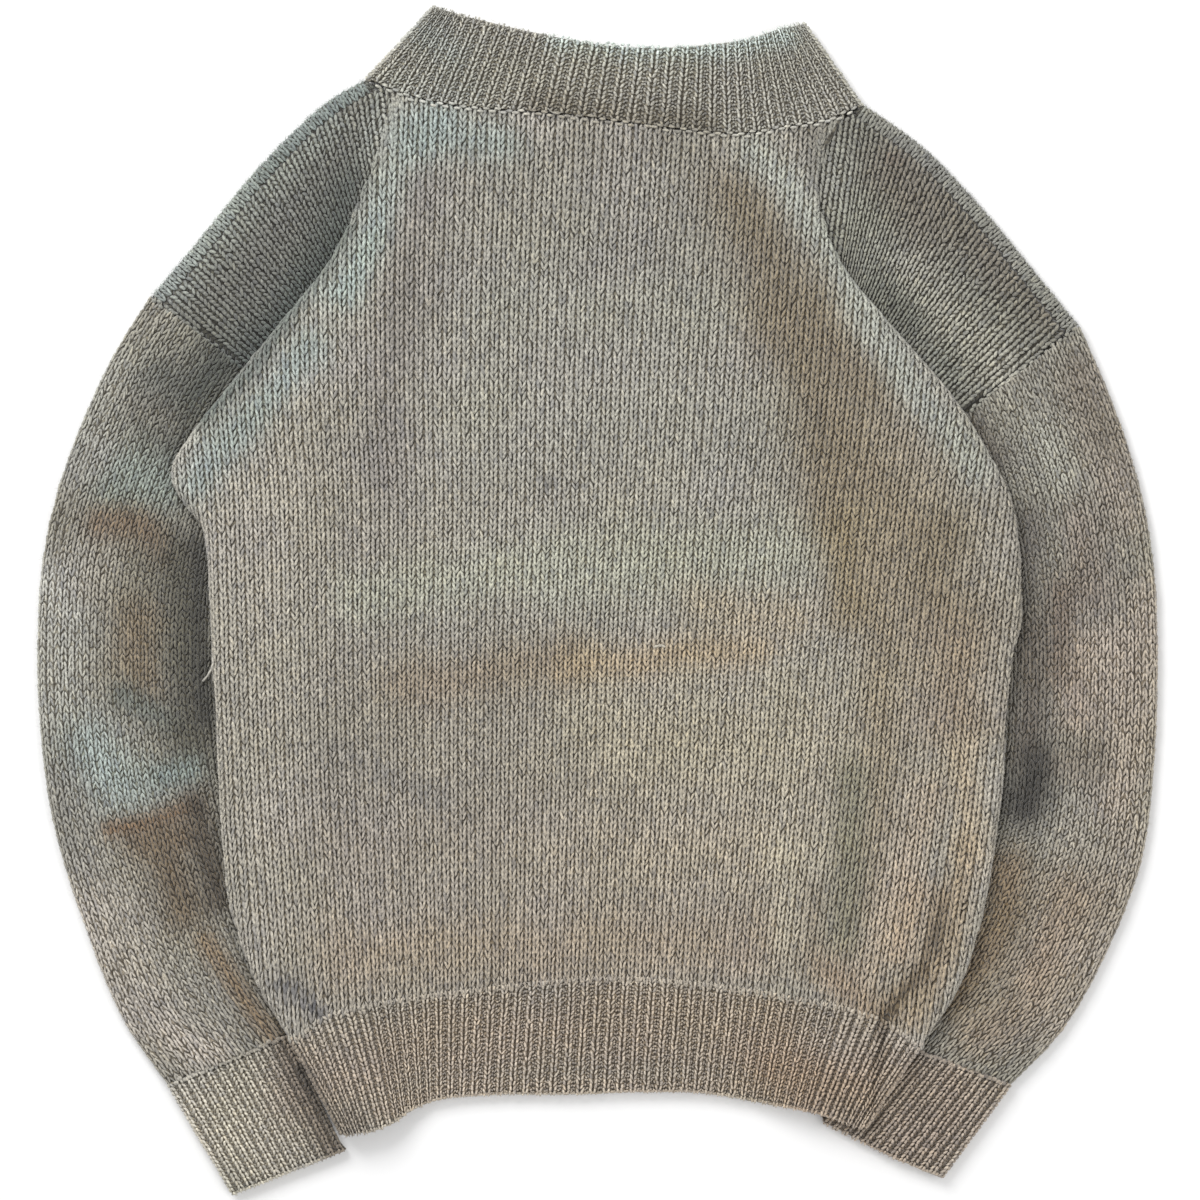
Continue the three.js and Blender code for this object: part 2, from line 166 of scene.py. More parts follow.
def by_length(curve):
    """The same curve by the distance along it, straight on past both ends, and its length."""
    t = np.linspace(0, 1, 400)
    points = curve(t)
    run = np.concatenate([[0], np.cumsum(length(np.diff(points, axis=0)))])
    start, end = unit(points[1] - points[0]), unit(points[-1] - points[-2])

    def at(s):
        s = np.asarray(s, float)[..., None]
        before, after = np.minimum(s, 0) * start, np.maximum(s - run[-1], 0) * end
        return curve(np.interp(s[..., 0], run, t)) + before + after

    return at, run[-1]


# ---- the garment's outline and the lines on it -----------------------------


class Side:
    """The lines of one side of the garment. sign is -1 for the wearer's right, at -X."""

    def __init__(self, name, sign, edge, inner, shoulder, pleat, fold, outer, sleeve_inner, cuff, crossing):
        self.name, self.sign = name, sign
        self.edge = profile(edge)
        self.inner = profile(inner)
        self.shoulder, self.shoulder_length = by_length(through(shoulder))
        self.shoulder_curve = through(shoulder)
        self.pleat = through(pleat)
        self.fold = through(fold)
        self.sleeve_curve = through(outer)
        self.sleeve_outer, self.sleeve_length = by_length(self.sleeve_curve)
        self.sleeve_inner = through(sleeve_inner)
        self.cuff = np.array(cuff, float)
        self.crossing = crossing


RIGHT_SIDE = Side(
    name="right",
    sign=-1,
    edge=[
        (301, -125), (273, -129), (231, -145), (201, -159), (176, -178.5), (153, -198),
        (126, -220.5), (96, -244.5), (75, -255.5), (59, -248.5), (42, -236), (0, -232),
        (-60, -229.5), (-120, -226.5), (-180, -221.5), (-216, -211.5), (-240, -201.5), (-267, -185),
    ],
    inner=[
        (300, -108), (250, -122), (200, -140), (160, -152), (110, -156), (60, -154), (20, -158),
        (-12, -168), (-60, -182), (-96, -189), (-180, -190), (-262, -176), (-330, -140),
    ],
    shoulder=[(-139.5, 312.5), (-168, 294.5), (-205, 258), (-244.5, 210), (-268.5, 182)],
    pleat=[(-124, 300), (-129, 266), (-147, 228), (-176, 179), (-211.5, 138)],
    fold=[(-98, 300), (-110, 262), (-127, 200), (-142, 130), (-151.5, 60)],
    outer=[
        (-268.5, 182), (-292, 144), (-311.5, 101), (-325, 62), (-333.5, 20), (-336.3, -30),
        (-334, -84), (-326, -137), (-310, -190), (-286, -250), (-258, -291),
    ],
    sleeve_inner=[
        (-151.5, 60), (-155, 40), (-161, 18), (-168, -8), (-176, -36), (-184, -70),
        (-191, -110), (-195, -150), (-195, -190), (-190, -228), (-186, -261),
    ],
    cuff=[[(-258, -291), (-186, -261)], [(-219, -357.3), (-151.5, -331)]],
    crossing=138,
)

LEFT_SIDE = Side(
    name="left",
    sign=1,
    edge=[
        (301, 147), (262, 132), (231, 137), (204, 148.5), (180, 166.5), (157, 185.5),
        (123, 213), (90, 233), (60, 247.5), (24, 253), (-12, 253.5), (-36, 248.5),
        (-84, 244), (-120, 241.5), (-180, 232.5), (-216, 223.5), (-243, 211.5), (-267, 195),
    ],
    inner=[
        (300, 126), (250, 116), (200, 134), (160, 150), (110, 157), (48, 153), (10, 162),
        (-24, 173), (-70, 188), (-108, 196), (-186, 193), (-264, 170), (-315, 128),
    ],
    shoulder=[(159.5, 297.5), (197, 270.5), (232, 234), (262, 197.5), (289.5, 164)],
    pleat=[(146, 287), (134, 250), (150, 202), (182, 161), (222, 112)],
    fold=[(118, 286), (110, 256), (122, 200), (140, 130), (151.5, 48)],
    outer=[
        (289.5, 164), (306, 126), (319.5, 89), (329.5, 50), (335, 8), (336.3, -42),
        (334, -100), (327, -155), (308, -207), (281, -256), (248.5, -291),
    ],
    sleeve_inner=[
        (151.5, 48), (158, 30), (167, 8), (176, -16), (185, -44), (193, -78),
        (199, -114), (203, -152), (202, -190), (193, -230), (178, -265),
    ],
    cuff=[[(248.5, -291), (178, -265)], [(205.5, -349), (135, -314)]],
    crossing=112,
)
SIDES = (RIGHT_SIDE, LEFT_SIDE)

neck_top = through([
    (-96, 356.4), (-82, 352), (-55, 345), (-28, 339.3), (2, 334.5), (32, 332.3), (62, 333.5),
    (88, 337), (108, 343), (122, 346.5),
])  # fmt: skip
neck_line = profile([
    (160, 299), (147, 292), (133, 287.5), (116, 285), (86, 280.5), (55, 282.5), (25, 286),
    (-25, 292.5), (-62, 295), (-90, 298), (-112, 303), (-128, 308.5), (-140, 314.5),
])  # fmt: skip
hem_line = profile([
    (195, -269), (181, -257), (164, -247.5), (120, -238), (65, -229.5), (5, -226),
    (-65, -232), (-137, -242), (-165, -249.5), (-185, -265.5),
])  # fmt: skip
hem_bottom = through([
    (-151, -321.3), (-125, -316), (-99, -301.5), (-62, -297.3), (-20, -297.3), (22, -295.8),
    (62, -296.3), (98, -302), (130, -307.5), (159, -317.1),
])  # fmt: skip


def edges(level):
    return RIGHT_SIDE.edge(level), LEFT_SIDE.edge(level)


def across_body(level, u):
    return mix(*edges(level), u)


def bow(level, u):
    """How far a row bows away from level: like the neck seam at the top, the hem seam below."""
    near_neck = smooth((level - 40) / (NECK_LEVEL - 40))
    near_hem = smooth((110 - level) / (110 + 170))
    neck = neck_line(across_body(NECK_LEVEL, u)) - NECK_LEVEL
    hem = hem_line(across_body(HEM_LEVEL, u)) - HEM_LEVEL
    return neck * near_neck + hem * near_hem


# ---- heights of the cloth over the table -----------------------------------

# Soft creases: from, to, height (a ridge is above 0, a trough below it) and half width.
BODY_CREASES = [
    ((-188, -224), (-158, -252), -2.2, 5.0),
    ((-176, -206), (-150, -236), 0.9, 7.0),
    ((213, -170), (197, -222), -2.4, 6.0),
    ((197, -222), (173, -251), -2.8, 4.5),
    ((173, -251), (165, -306), -2.6, 4.5),
    ((206, -222), (184, -256), 1.2, 6.0),
    ((190, -160), (156, -216), 1.0, 9.0),
    ((-118, 262), (-150, 196), 1.2, 9.0),
    ((-96, 250), (-112, 196), -1.0, 8.0),
    ((118, 246), (138, 190), 0.9, 9.0),
    ((96, 150), (118, 90), -0.8, 16.0),
    ((-60, 10), (90, 22), 0.9, 15.0),
    ((-40, -30), (110, -14), -0.8, 12.0),
    ((-120, -110), (-96, -190), -0.7, 12.0),
]
SLEEVE_CREASES = {
    -1: [
        ((-330, 40), (-240, -28), 2.5, 16.0),
        ((-304, 64), (-240, 20), -1.6, 10.0),
        ((-292, -118), (-226, -132), -1.8, 10.0),
        ((-318, -150), (-250, -168), 1.2, 12.0),
        ((-286, -222), (-246, -236), -1.2, 8.0),
    ],
    1: [
        ((300, 70), (252, -34), 5.0, 13.0),
        ((258, 40), (257, -22), -2.6, 6.5),
        ((300, -104), (256, -90), -1.4, 10.0),
        ((316, -150), (262, -168), 1.2, 11.0),
        ((268, -214), (246, -228), -1.0, 8.0),
    ],
}


def from_line(x, y, start, end):
    """Distance from a straight line between two points."""
    (ax, ay), (bx, by) = start, end
    dx, dy = bx - ax, by - ay
    t = clamp01(((x - ax) * dx + (y - ay) * dy) / (dx * dx + dy * dy))
    return np.hypot(x - mix(ax, bx, t), y - mix(ay, by, t))


def creased(x, y, creases):
    return sum(height * np.exp(-((from_line(x, y, a, b) / width) ** 2)) for a, b, height, width in creases)


def rise(x, y, shift, fade):
    share = [smooth((side.sign * (x - side.inner(y)) + shift + RAMP) / RAMP) for side in SIDES]
    return (share[0] + share[1]) * fade


def back_lift(x, y):
    return LIFT * rise(x, y, 6, smooth((200 - y) / 50))


def front_base(x, y):
    return FLAT + (LIFT + PUFF) * rise(x, y, 10, smooth((302 - y) / 150))


def front_top(x, y):
    return front_base(x, y) + creased(x, y, BODY_CREASES)


def outside(side, x, y):
    """How far a point lies outside the body's edge."""
    return side.sign * (x - side.edge(y))


def sleeve_top(side, x, y, from_outer):
    beside = smooth((outside(side, x, y) - 3) / 26)
    full = SLEEVE_CROWN + creased(x, y, SLEEVE_CREASES[side.sign])
    groove = -0.9 * np.exp(-(((from_outer - 10.5) / 2.2) ** 2))
    return FLAT + full * beside * smooth(from_outer / 30) + groove * beside


# ---- charts: from a place in the knitting to a point on the cloth's face ---


def rolled(flat, z, over, outward, radius, most=math.pi / 2):
    """Carries points past the end of the flat cloth round a roll and on straight down."""
    over = np.abs(over)
    angle = np.minimum(over / radius, most)
    drop = np.maximum(over - radius * most, 0)
    shift = (radius * np.sin(angle))[..., None]
    height = z - radius * (1 - np.cos(angle)) - drop
    return at_height(flat + outward * shift, height)


def front_foot(level, side, height):
    """How far over the table the front's rolled edge ends: on its shoulder, its sleeve or the back."""
    on_shoulder = smooth((level - side.crossing - 1) / 7)
    side_seam = smooth((SIDE_SEAM_TOP - level) / 16)
    over = FLAT + mix(OVER_SLEEVE, OVER_SHOULDER, on_shoulder)
    foot = mix(over, LIFT + SIDE_ROLL + SEAM, side_seam)
    return np.minimum(foot, height - 0.6)


def edge_roll(level, side):
    """Radius of the front's rolled edge, and how far its cloth reaches past the flat."""
    height = front_base(side.edge(level), level)
    foot = front_foot(level, side, height)
    radius = np.minimum(5, height - foot)
    return radius, radius * math.pi / 2 + np.maximum(height - radius - foot, 0)


def front_reach(level):
    """How far the front is flat at a level, and how far its cloth reaches, from edge to edge."""
    left, right = edges(level)
    (r_left, far_left), (r_right, far_right) = edge_roll(level, RIGHT_SIDE), edge_roll(level, LEFT_SIDE)
    return left + r_left, right - r_right, left + r_left - far_left, right - r_right + far_right


def on_row(x, level, flat_left, flat_right):
    """Where a row is flat under x, how far x goes on past there, and which way."""
    left, right = edges(level)
    inside = np.clip(x, flat_left, flat_right)
    place = stack(inside, level + bow(level, (inside - left) / (right - left)))
    over = x - inside
    return place, over, stack(np.sign(over), np.zeros_like(over))


def front_at(x, level):
    """The front's face. x runs across the cloth and on round its rolled edges."""
    left, right = edges(level)
    (r_left, _), (r_right, _) = edge_roll(level, RIGHT_SIDE), edge_roll(level, LEFT_SIDE)
    place, over, outward = on_row(x, level, left + r_left, right - r_right)
    radius = np.where(over < 0, r_left, r_right)
    return rolled(place, front_top(place[..., 0], place[..., 1]), over, outward, radius)


# width of a stitch column of the body over its height, and the x of the middle one
body_wale = profile([
    (300, 5.85), (240, 5.8), (120, 5.62), (60, 5.45), (-60, 5.25), (-150, 5.1), (-267, 4.75),
])  # fmt: skip
body_centre = profile([(300, 13), (200, 8), (60, 3), (-60, -2), (-160, -5), (-267, -9)])


def body_place(w, c):
    """Where a stitch of the body is: its x and its level."""
    level = FIRST_ROW - c * BODY_ROW
    return body_centre(level) + w * body_wale(level), level


def body_stitch(x, level):
    """Which column and row of the body a place is in."""
    return (x - body_centre(level)) / body_wale(level), (FIRST_ROW - level) / BODY_ROW


def front_knit(w, c):
    return front_at(*body_place(w, c))


def back_at(x, level, inset):
    """The back's face, seen from below. x runs across and up round its edges."""
    left, right = edges(level)
    place, over, outward = on_row(x, level, left + inset + SIDE_ROLL, right - inset - SIDE_ROLL)
    turned = rolled(place, -back_lift(place[..., 0], place[..., 1]), over, outward, SIDE_ROLL)
    turned[..., 2] *= -1
    return turned


def yoke_direction(side, s):
    """Which way the stitch columns of the shoulder run, from the edge inwards."""
    turn = np.radians(np.interp(s / side.shoulder_length, [0, 0.25, 0.6, 0.9, 1], [8, 22, 38, 47, 49]))
    return stack(-side.sign * np.sin(turn), -np.cos(turn))


def yoke_knit(side):
    def chart(w, c):
        s = w * SHOULDER_WALE
        place = side.shoulder(s) + yoke_direction(side, s) * (c * SHOULDER_ROW)[..., None]
        return at_height(place, np.full_like(s, FLAT))

    return chart


def across_edge(side, curve, s):
    """The direction square to a curve along the garment's outline, pointing inwards."""
    along = unit(curve(s + 1.5) - curve(s - 1.5))
    return side.sign * stack(along[..., 1], -along[..., 0])


def rim_knit(side):
    """The strip of the back that shows along the shoulder, and its roll round the edge."""

    def chart(w, c):
        s = np.clip(w * RIM_WALE, 1.6, side.shoulder_length - 1.6)
        inward = across_edge(side, side.shoulder, s)
        reach = SHOULDER_SEAM_IN - c * RIM_ROW
        flat = np.maximum(reach, FOLD)
        place = side.shoulder(s) + inward * flat[..., None]
        return rolled(place, np.full_like(s, FLAT), reach - flat, -inward, FOLD, math.pi)

    return chart


def sleeve_inward(side, s):
    """The way a sleeve's rows run: along the armhole at its top, along the cuff at its end."""
    square = across_edge(side, side.sleeve_outer, np.clip(s, 2, side.sleeve_length - 2))
    armhole = unit(side.pleat(1.0) - side.sleeve_curve(0.0))
    cuff = unit(side.cuff[0][1] - side.cuff[0][0])
    top = smooth(1 - s / 90)[..., None]
    end = smooth(1 - (side.sleeve_length - s) / 90)[..., None]
    return unit(square * (1 - top - end) + armhole * top + cuff * end)


def sleeve_knit(side):
    def chart(w, c):
        s = c * SLEEVE_ROW
        reach = w * SLEEVE_WALE
        flat = np.maximum(reach, FOLD)
        inward = sleeve_inward(side, s)
        place = side.sleeve_outer(s) + inward * flat[..., None]
        z = sleeve_top(side, place[..., 0], place[..., 1], flat)
        return rolled(place, z, reach - flat, -inward, FOLD, math.pi)

    return chart


def fanned(k, ribs, spread, pulled):
    """Rib number to a fraction of the band's width.

    spread brings the ribs closer little by little towards both ends, and pulled only near them.
    """
    u = k / ribs
    ends = 2 * u - 1 - np.tanh(u / 0.1) - np.tanh((u - 1) / 0.1)
    return u + spread * np.sin(FULL_TURN * (u - 0.5)) / FULL_TURN + pulled * ends


def band_chart(low, high, ribs, z, side_radius, end_radius, spread=0.0, pulled=0.0):
    """The face of a ribbed band. k counts ribs across it and h is mm from the low line to the high."""

    def chart(k, h):
        u = fanned(k, ribs, spread, pulled)
        u_in = clamp01(u)
        rise_in = length(high(u_in) - low(u_in))
        ends = [mix2(low(e), high(e), clamp01(h / rise_in)) for e in (np.zeros_like(u), np.ones_like(u))]
        row = ends[1] - ends[0]
        width = length(row)
        margin = side_radius / width
        flat_u = np.clip(u, margin, 1 - margin)
        tall = length(high(flat_u) - low(flat_u))
        flat_h = np.clip(h, 0, tall - end_radius)
        place = mix2(low(flat_u), high(flat_u), flat_h / tall)
        top = z(place[..., 0], place[..., 1])
        over_u = (u - flat_u) * width
        point = rolled(place, top, over_u, unit(row) * np.sign(over_u)[..., None], side_radius)
        over_h = np.maximum(h - flat_h, 0)
        up = unit(high(flat_u) - low(flat_u))
        tip = rolled(place, top, over_h, up, end_radius, 2.6)
        return point + tip - at_height(place, top)

    return chart


def neck_seam(u):
    x = mix(-139.5, 159.5, np.asarray(u, float))
    return stack(x, neck_line(x))


def hem_seam(u):
    u = np.asarray(u, float)
    y = HEM_LEVEL + bow(np.full_like(u, HEM_LEVEL), u) - SEAM
    return stack(across_body(HEM_LEVEL, u), y)


def hem_z(x, y):
    return front_top(x, y) + RIB - WALL


def cuff_line(side, row):
    start, end = side.cuff[row]
    return lambda u: mix2(np.broadcast_to(start, np.shape(u) + (2,)), end, u)


class Band:
    """A ribbed band: its face, how many ribs it has, and how deep it is at rib number k.

    facing is the way its chart turns, and up is 1 where its knit stitches point to its low line.
    """

    def __init__(self, low, high, ribs, z, side_radius, end_radius, facing, up=-1, deep=None, **fan):
        self.knit = band_chart(low, high, ribs, z, side_radius, end_radius, **fan)
        self.ribs, self.facing, self.up = ribs, facing, up
        across = lambda k: length(high(clamp01(k / ribs)) - low(clamp01(k / ribs)))
        self.deep = across if deep is None else lambda k: deep + 0 * k


NECK_Z, CUFF_Z = FLAT + NECK_PROUD, FLAT + 0.4  # height of the face of the neckband and the cuffs
neckband = Band(neck_seam, neck_top, NECK_RIBS, lambda x, y: NECK_Z + 0 * x, 4.2, 1.9, 1, spread=0.14)
front_hem = Band(hem_seam, hem_bottom, HEM_RIBS, hem_z, 5.0, 1.6, -1, 1, pulled=0.04)
back_hem = Band(
    hem_seam, hem_bottom, HEM_RIBS, lambda x, y: -back_lift(x, y), SIDE_ROLL, 1.6, -1, 1, pulled=0.04
)
cuffs = {
    side: Band(
        cuff_line(side, 0), cuff_line(side, 1), CUFF_RIBS, lambda x, y: CUFF_Z + 0 * x, 3.7, 1.5, side.sign,
        deep=float(length(side.cuff[1] - side.cuff[0]).mean()),
    )
    for side in SIDES
}  # fmt: skip


def raised(chart, a, b, height, facing):
    """Points at a height over a chart's face. facing is 1 or -1, the way the chart turns."""
    step = 0.03
    point = chart(a, b)
    normal = np.cross(chart(a + step, b) - chart(a - step, b), chart(a, b + step) - chart(a, b - step))
    return point + unit(normal) * (facing * height)[..., None]


# ---- colour: a marled grey-green wool, faded and stained in clouds, with painted shade and highlight ---


def linear(colour):
    """An sRGB hex colour as linear numbers."""
    parts = [int(colour[i : i + 2], 16) / 255 for i in (1, 3, 5)]
    return np.array([p / 12.92 if p <= 0.04045 else ((p + 0.055) / 1.055) ** 2.4 for p in parts])


WAVES = [  # waves to the mm, direction and phase
    [chance.uniform(*span) for span in ((0.006, 0.03), (0, FULL_TURN), (0, FULL_TURN))] for _ in range(14)
]


def cloud(x, y):
    """A soft random field between about -1 and 1, in patches 30 to 150 mm across."""
    waves = [np.sin(f * 6.28 * (x * np.cos(d) + y * np.sin(d)) + p) for f, d, p in WAVES]
    return sum(waves) / 4.0


# Fading, washing out and staining, with painted shade in folds, creases and beside the body's
# edges and a painted highlight on a pleat's ridge, broad ones first: a line through the middle of
# each soft patch, its half width, the colour the knitting shows there and how much of it.
FADES_AND_SHADING = {}
FADES_AND_SHADING["body"] = [
    ([(-60, 228), (60, 228)], 45, "#87857e", 0.85),
    ([(-60, 175), (70, 175)], 26, "#8f8f87", 0.7),
    ([(-70, 110), (80, 110)], 42, "#93928a", 0.8),
    ([(-150, 60), (-150, -40)], 36, "#8f8b82", 0.7),
    ([(-200, 60), (-202, -60), (-196, -190)], 22, "#9c988e", 0.9),
    ([(-140, -85), (-40, -85)], 34, "#8d887d", 0.8),
    ([(20, -85), (120, -85)], 34, "#a09a89", 0.9),
    ([(-150, -150), (-50, -150)], 34, "#928b81", 0.8),
    ([(0, -150), (100, -150)], 34, "#9f9788", 0.9),
    ([(-150, -215), (100, -205)], 24, "#998e7f", 0.9),
    ([(84, 245), (100, 200), (118, 158), (136, 112), (142, 61)], 20, "#786f5e", 0.95),
    ([(132, 170), (166, 130)], 19, "#776d5a", 0.9),
    ([(150, 92), (175, 60), (200, 30), (208, 0)], 30, "#7d7360", 0.95),
    ([(212, -30), (214, -70)], 22, "#8f826f", 0.9),
    # this and the next: pale teal along the pleat's ridge at -X, the faded colour with a painted highlight on
    # the ridge
    ([(-98, 290), (-115, 255), (-130, 225), (-152, 185)], 12, "#939f9b", 0.95),
    ([(-172, 152), (-202, 117), (-226, 92), (-240, 72)], 11, "#8d9692", 0.95),
    ([(-104, 250), (-112, 210), (-124, 130), (-128, 76)], 15, "#807c77", 0.85),
    # painted shade along the fold of the pleat at -X
    ([(-152, 222), (-178, 178), (-208, 140), (-236, 108)], 6, "#5d645f", 0.9),
    ([(-112, 284), (-60, 275)], 12, "#87918e", 0.8),
    ([(130, 286), (136, 262)], 10, "#716e65", 0.85),
    ([(94, 268), (114, 252), (128, 225), (148, 195), (172, 155), (199, 113), (226, 78)],
     10, "#979a93", 0.95),  # fmt: skip
    ([(-142, 2), (-60, 16), (-19, 25)], 14, "#9b9c8f", 0.95),
    ([(-19, 17), (40, 22), (108, 29)], 20, "#9c9d90", 0.95),
    ([(168, 44), (173, -40), (171, -110), (160, -180)], 15, "#8b816f", 0.85),
    ([(-116, -52), (-60, -44), (-19, -36)], 13, "#8b8070", 0.9),
    ([(-19, -42), (40, -34), (98, -28)], 10, "#9c8d74", 0.8),
    ([(60, -4), (118, -10)], 12, "#a09785", 0.85),
    ([(144, 42), (152, -4)], 13, "#84785f", 0.9),
    ([(176, 96), (196, 70)], 13, "#8d8575", 0.8),
    ([(-162, -88), (-128, -104), (-94, -120)], 6, "#827f7a", 0.7),
    ([(110, -96), (114, -205)], 9, "#a7a193", 0.9),
    ([(132, -80), (134, -150)], 11, "#a19b8e", 0.8),
    ([(130, -176), (131, -218)], 6, "#857d70", 0.8),
    ([(150, -108), (152, -160), (148, -206)], 10, "#7d7a68", 0.9),
    ([(198, -116), (182, -168), (163, -220)], 10, "#a09585", 0.9),
    # this and the next: painted shade in the crease running down to the hem's corner at +X
    ([(208, -178), (196, -222), (173, -251)], 8, "#7c6d58", 0.95),
    ([(210, -186), (197, -222), (173, -251)], 3.5, "#4d4437", 0.85),
    ([(140, -225), (160, -245)], 12, "#95846f", 0.8),
    ([(217, -90), (225, -155)], 10, "#a29683", 0.85),
    ([(192, -172), (180, -212)], 8, "#a3937e", 0.8),
    ([(222, -150), (212, -205), (190, -250)], 8, "#948773", 0.9),
    # painted shade in the crease at the hem's corner at -X
    ([(-190, -229), (-164, -250)], 3.5, "#5b5b5e", 0.85),
    ([(-10, 278), (60, 270)], 9, "#7f7c74", 0.7),
    ([(-32, 70), (-31, 70)], 2.0, "#1d1b18", 0.95),  # a small hole, shown only as a painted dark spot of shade
    ([(-27, 293), (-24, 293)], 3.0, "#2a2723", 0.9),  # the neck seam has opened, shown only as a painted dark patch of shade
]
FADES_AND_SHADING["shoulder"] = [
    ([(-165, 262), (-205, 208), (-245, 160)], 24, "#656661", 0.87),
    ([(-160, 286), (-205, 242), (-252, 186)], 9, "#80857f", 0.8),
    # painted shadow in the hollow of the yoke beside the pleat
    ([(-142, 244), (-162, 204), (-189, 169), (-217, 140), (-242, 116)], 17, "#434a46", 0.97),
    ([(-130, 298), (-136, 270)], 8, "#848984", 0.8),
    ([(178, 255), (198, 222)], 15, "#716c62", 0.9),
    ([(176, 265), (180, 264)], 3, "#6e5242", 0.7),
    ([(180, 262), (226, 222), (272, 172)], 13, "#706b60", 0.9),
    ([(186, 198), (216, 162), (246, 136)], 15, "#97968c", 0.95),
    ([(140, 262), (150, 236), (166, 206)], 11, "#888981", 0.85),
    ([(172, 186), (188, 168)], 11, "#666860", 0.85),
    ([(200, 150), (214, 132)], 6, "#7c7e76", 0.9),
]
FADES_AND_SHADING["rim"] = [
    ([(-150, 304), (-205, 250)], 14, "#747e7b", 0.8),
    ([(-215, 238), (-268, 178)], 14, "#878e8a", 0.8),
    ([(170, 286), (230, 230), (283, 165)], 20, "#7f7e77", 0.8),
]
FADES_AND_SHADING["sleeve"] = [
    # this and the next: painted shadow on the sleeve beside the body's edge below the armhole
    ([(-226, 142), (-256, 100)], 19, "#3f423c", 0.97),
    ([(-262, 132), (-258, 104)], 12, "#454843", 0.93),
    # painted shade on the sleeve beside the body's edge
    ([(228, 104), (240, 84)], 7, "#615c54", 0.9),
    ([(-290, 130), (-305, 90)], 20, "#888882", 0.9),
    ([(-322, 14), (-326, -60)], 18, "#979791", 0.95),
    ([(-324, -100), (-312, -150)], 16, "#807f79", 0.8),
    ([(-302, -195), (-275, -250)], 28, "#9a958e", 0.95),
    ([(-318, 52), (-322, 40)], 12, "#7b786f", 0.8),
    ([(-272, 30), (-274, -4)], 17, "#6f6c60", 0.9),
    ([(-274, -14), (-274, -48)], 15, "#706451", 0.92),
    ([(-296, 18), (-300, 8)], 12, "#8a867c", 0.8),
    ([(-270, 112), (-262, 106)], 13, "#6a6861", 0.9),
    ([(-280, 78), (-268, 72)], 13, "#7a827d", 0.9),
    ([(-292, 62), (-264, 66)], 12, "#7a827d", 0.85),
    ([(-300, 46), (-276, 42), (-254, 26)], 8.5, "#6d5d4b", 0.9),
    ([(-304, -88), (-284, -112)], 16, "#8c9694", 0.92),
    ([(-284, -58), (-250, -76)], 8, "#5f655f", 0.85),
    # painted shadow on the sleeve beside the body's edge
    ([(-250, 30), (-246, -10), (-244, -50), (-242, -92)], 16, "#4b493e", 0.97),
    ([(-264, -106), (-243, -102)], 7, "#78837f", 0.9),
    ([(-274, -146), (-246, -142)], 9, "#6a5a46", 0.95),
    ([(-292, -138), (-270, -134), (-244, -124)], 5.5, "#6a543c", 0.92),
    ([(-262, -148), (-256, -166), (-246, -188)], 14, "#625644", 0.97),
    ([(-232, -206), (-214, -236), (-194, -266)], 6, "#75654f", 0.93),
    # this and the next: painted shadow close along the body's edge
    ([(-241, -122), (-236, -146), (-228, -180)], 8, "#463d30", 0.95),
    ([(-239, 34), (-236, -70)], 6, "#302f29", 0.9),
    ([(268, -236), (230, -262)], 15, "#867b6d", 0.95),
    ([(-256, -262), (-228, -272)], 10, "#a19b93", 0.9),
    ([(294, 130), (310, 90), (322, 50)], 15, "#8a8379", 0.95),
    ([(329, 0), (331, -50), (324, -100)], 15, "#948c81", 0.95),
    ([(320, -145), (302, -200), (275, -250)], 20, "#938c82", 0.9),
    ([(266, 100), (278, 72)], 10, "#94948c", 0.9),
    ([(290, 136), (306, 96)], 12, "#756f65", 0.92),
    ([(290, 46), (296, 8)], 13, "#7f766c", 0.85),
    ([(294, -30), (288, -72)], 14, "#8f8478", 0.9),
    ([(278, 4), (277, -44)], 10, "#6d6257", 0.92),
    ([(312, -24), (312, -122)], 14, "#9a9186", 0.9),
    ([(300, -106), (272, -100)], 8, "#7b756c", 0.85),
    ([(286, -134), (290, -140)], 13, "#8f8b82", 0.9),
    ([(280, -180), (262, -225)], 18, "#908373", 0.95),
    # down to the darkest one: painted shade on the sleeve beside the body's edge
    ([(258, 46), (259, 4)], 9, "#65615b", 0.9),
    ([(259, -18), (257, -92)], 11, "#595249", 0.92),
    ([(264, -98), (254, -122)], 12, "#2f2c27", 0.97),
    ([(286, -98), (300, -92)], 9, "#7b746a", 0.85),
    ([(248, -160), (243, -188), (230, -218), (214, -240)], 11, "#776852", 0.95),
]
FADES_AND_SHADING["band"] = [
    ([(-20, 337), (20, 332), (60, 332), (114, 340)], 8, "#959e9b", 0.95),
    ([(-100, 340), (-90, 330)], 12, "#878b86", 0.9),
    ([(-120, 308), (-80, 303)], 9, "#858782", 0.8),
    # painted shade along the neck seam, under the collar's edge
    ([(-34, 298), (0, 293), (40, 288), (64, 285)], 9, "#6c685d", 0.95),
    ([(-170, -290), (-80, -262), (0, -252), (80, -260), (170, -285)], 34, "#8d8377", 0.97),
    ([(-130, -307), (-80, -293), (80, -293), (126, -303)], 6, "#93897d", 0.9),
    ([(-152, -314), (-146, -312)], 8, "#7c746a", 0.8),
    ([(-230, -300), (-204, -340)], 26, "#9d998f", 0.95),
    # painted shade along the hem's end at -X, where it lies over the cuff
    ([(-188, -268), (-155, -336)], 9, "#655c51", 0.95),
    # painted shadow in the crease at the hem's corner at +X
    ([(173, -251), (165, -306)], 3.5, "#4f463a", 0.85),
    # painted shadow under the edge of the hem's end at -X
    ([(-178, -280), (-165, -304), (-153, -326)], 3, "#39342d", 0.9),
    ([(110, -283), (150, -298)], 20, "#8c7b68", 0.8),
    ([(215, -300), (178, -336)], 40, "#857a6f", 0.95),
]
PLAIN = {"body": "#949189", "shoulder": "#77776f", "sleeve": "#817f76", "band": "#84837c", "rim": "#7c817d"}
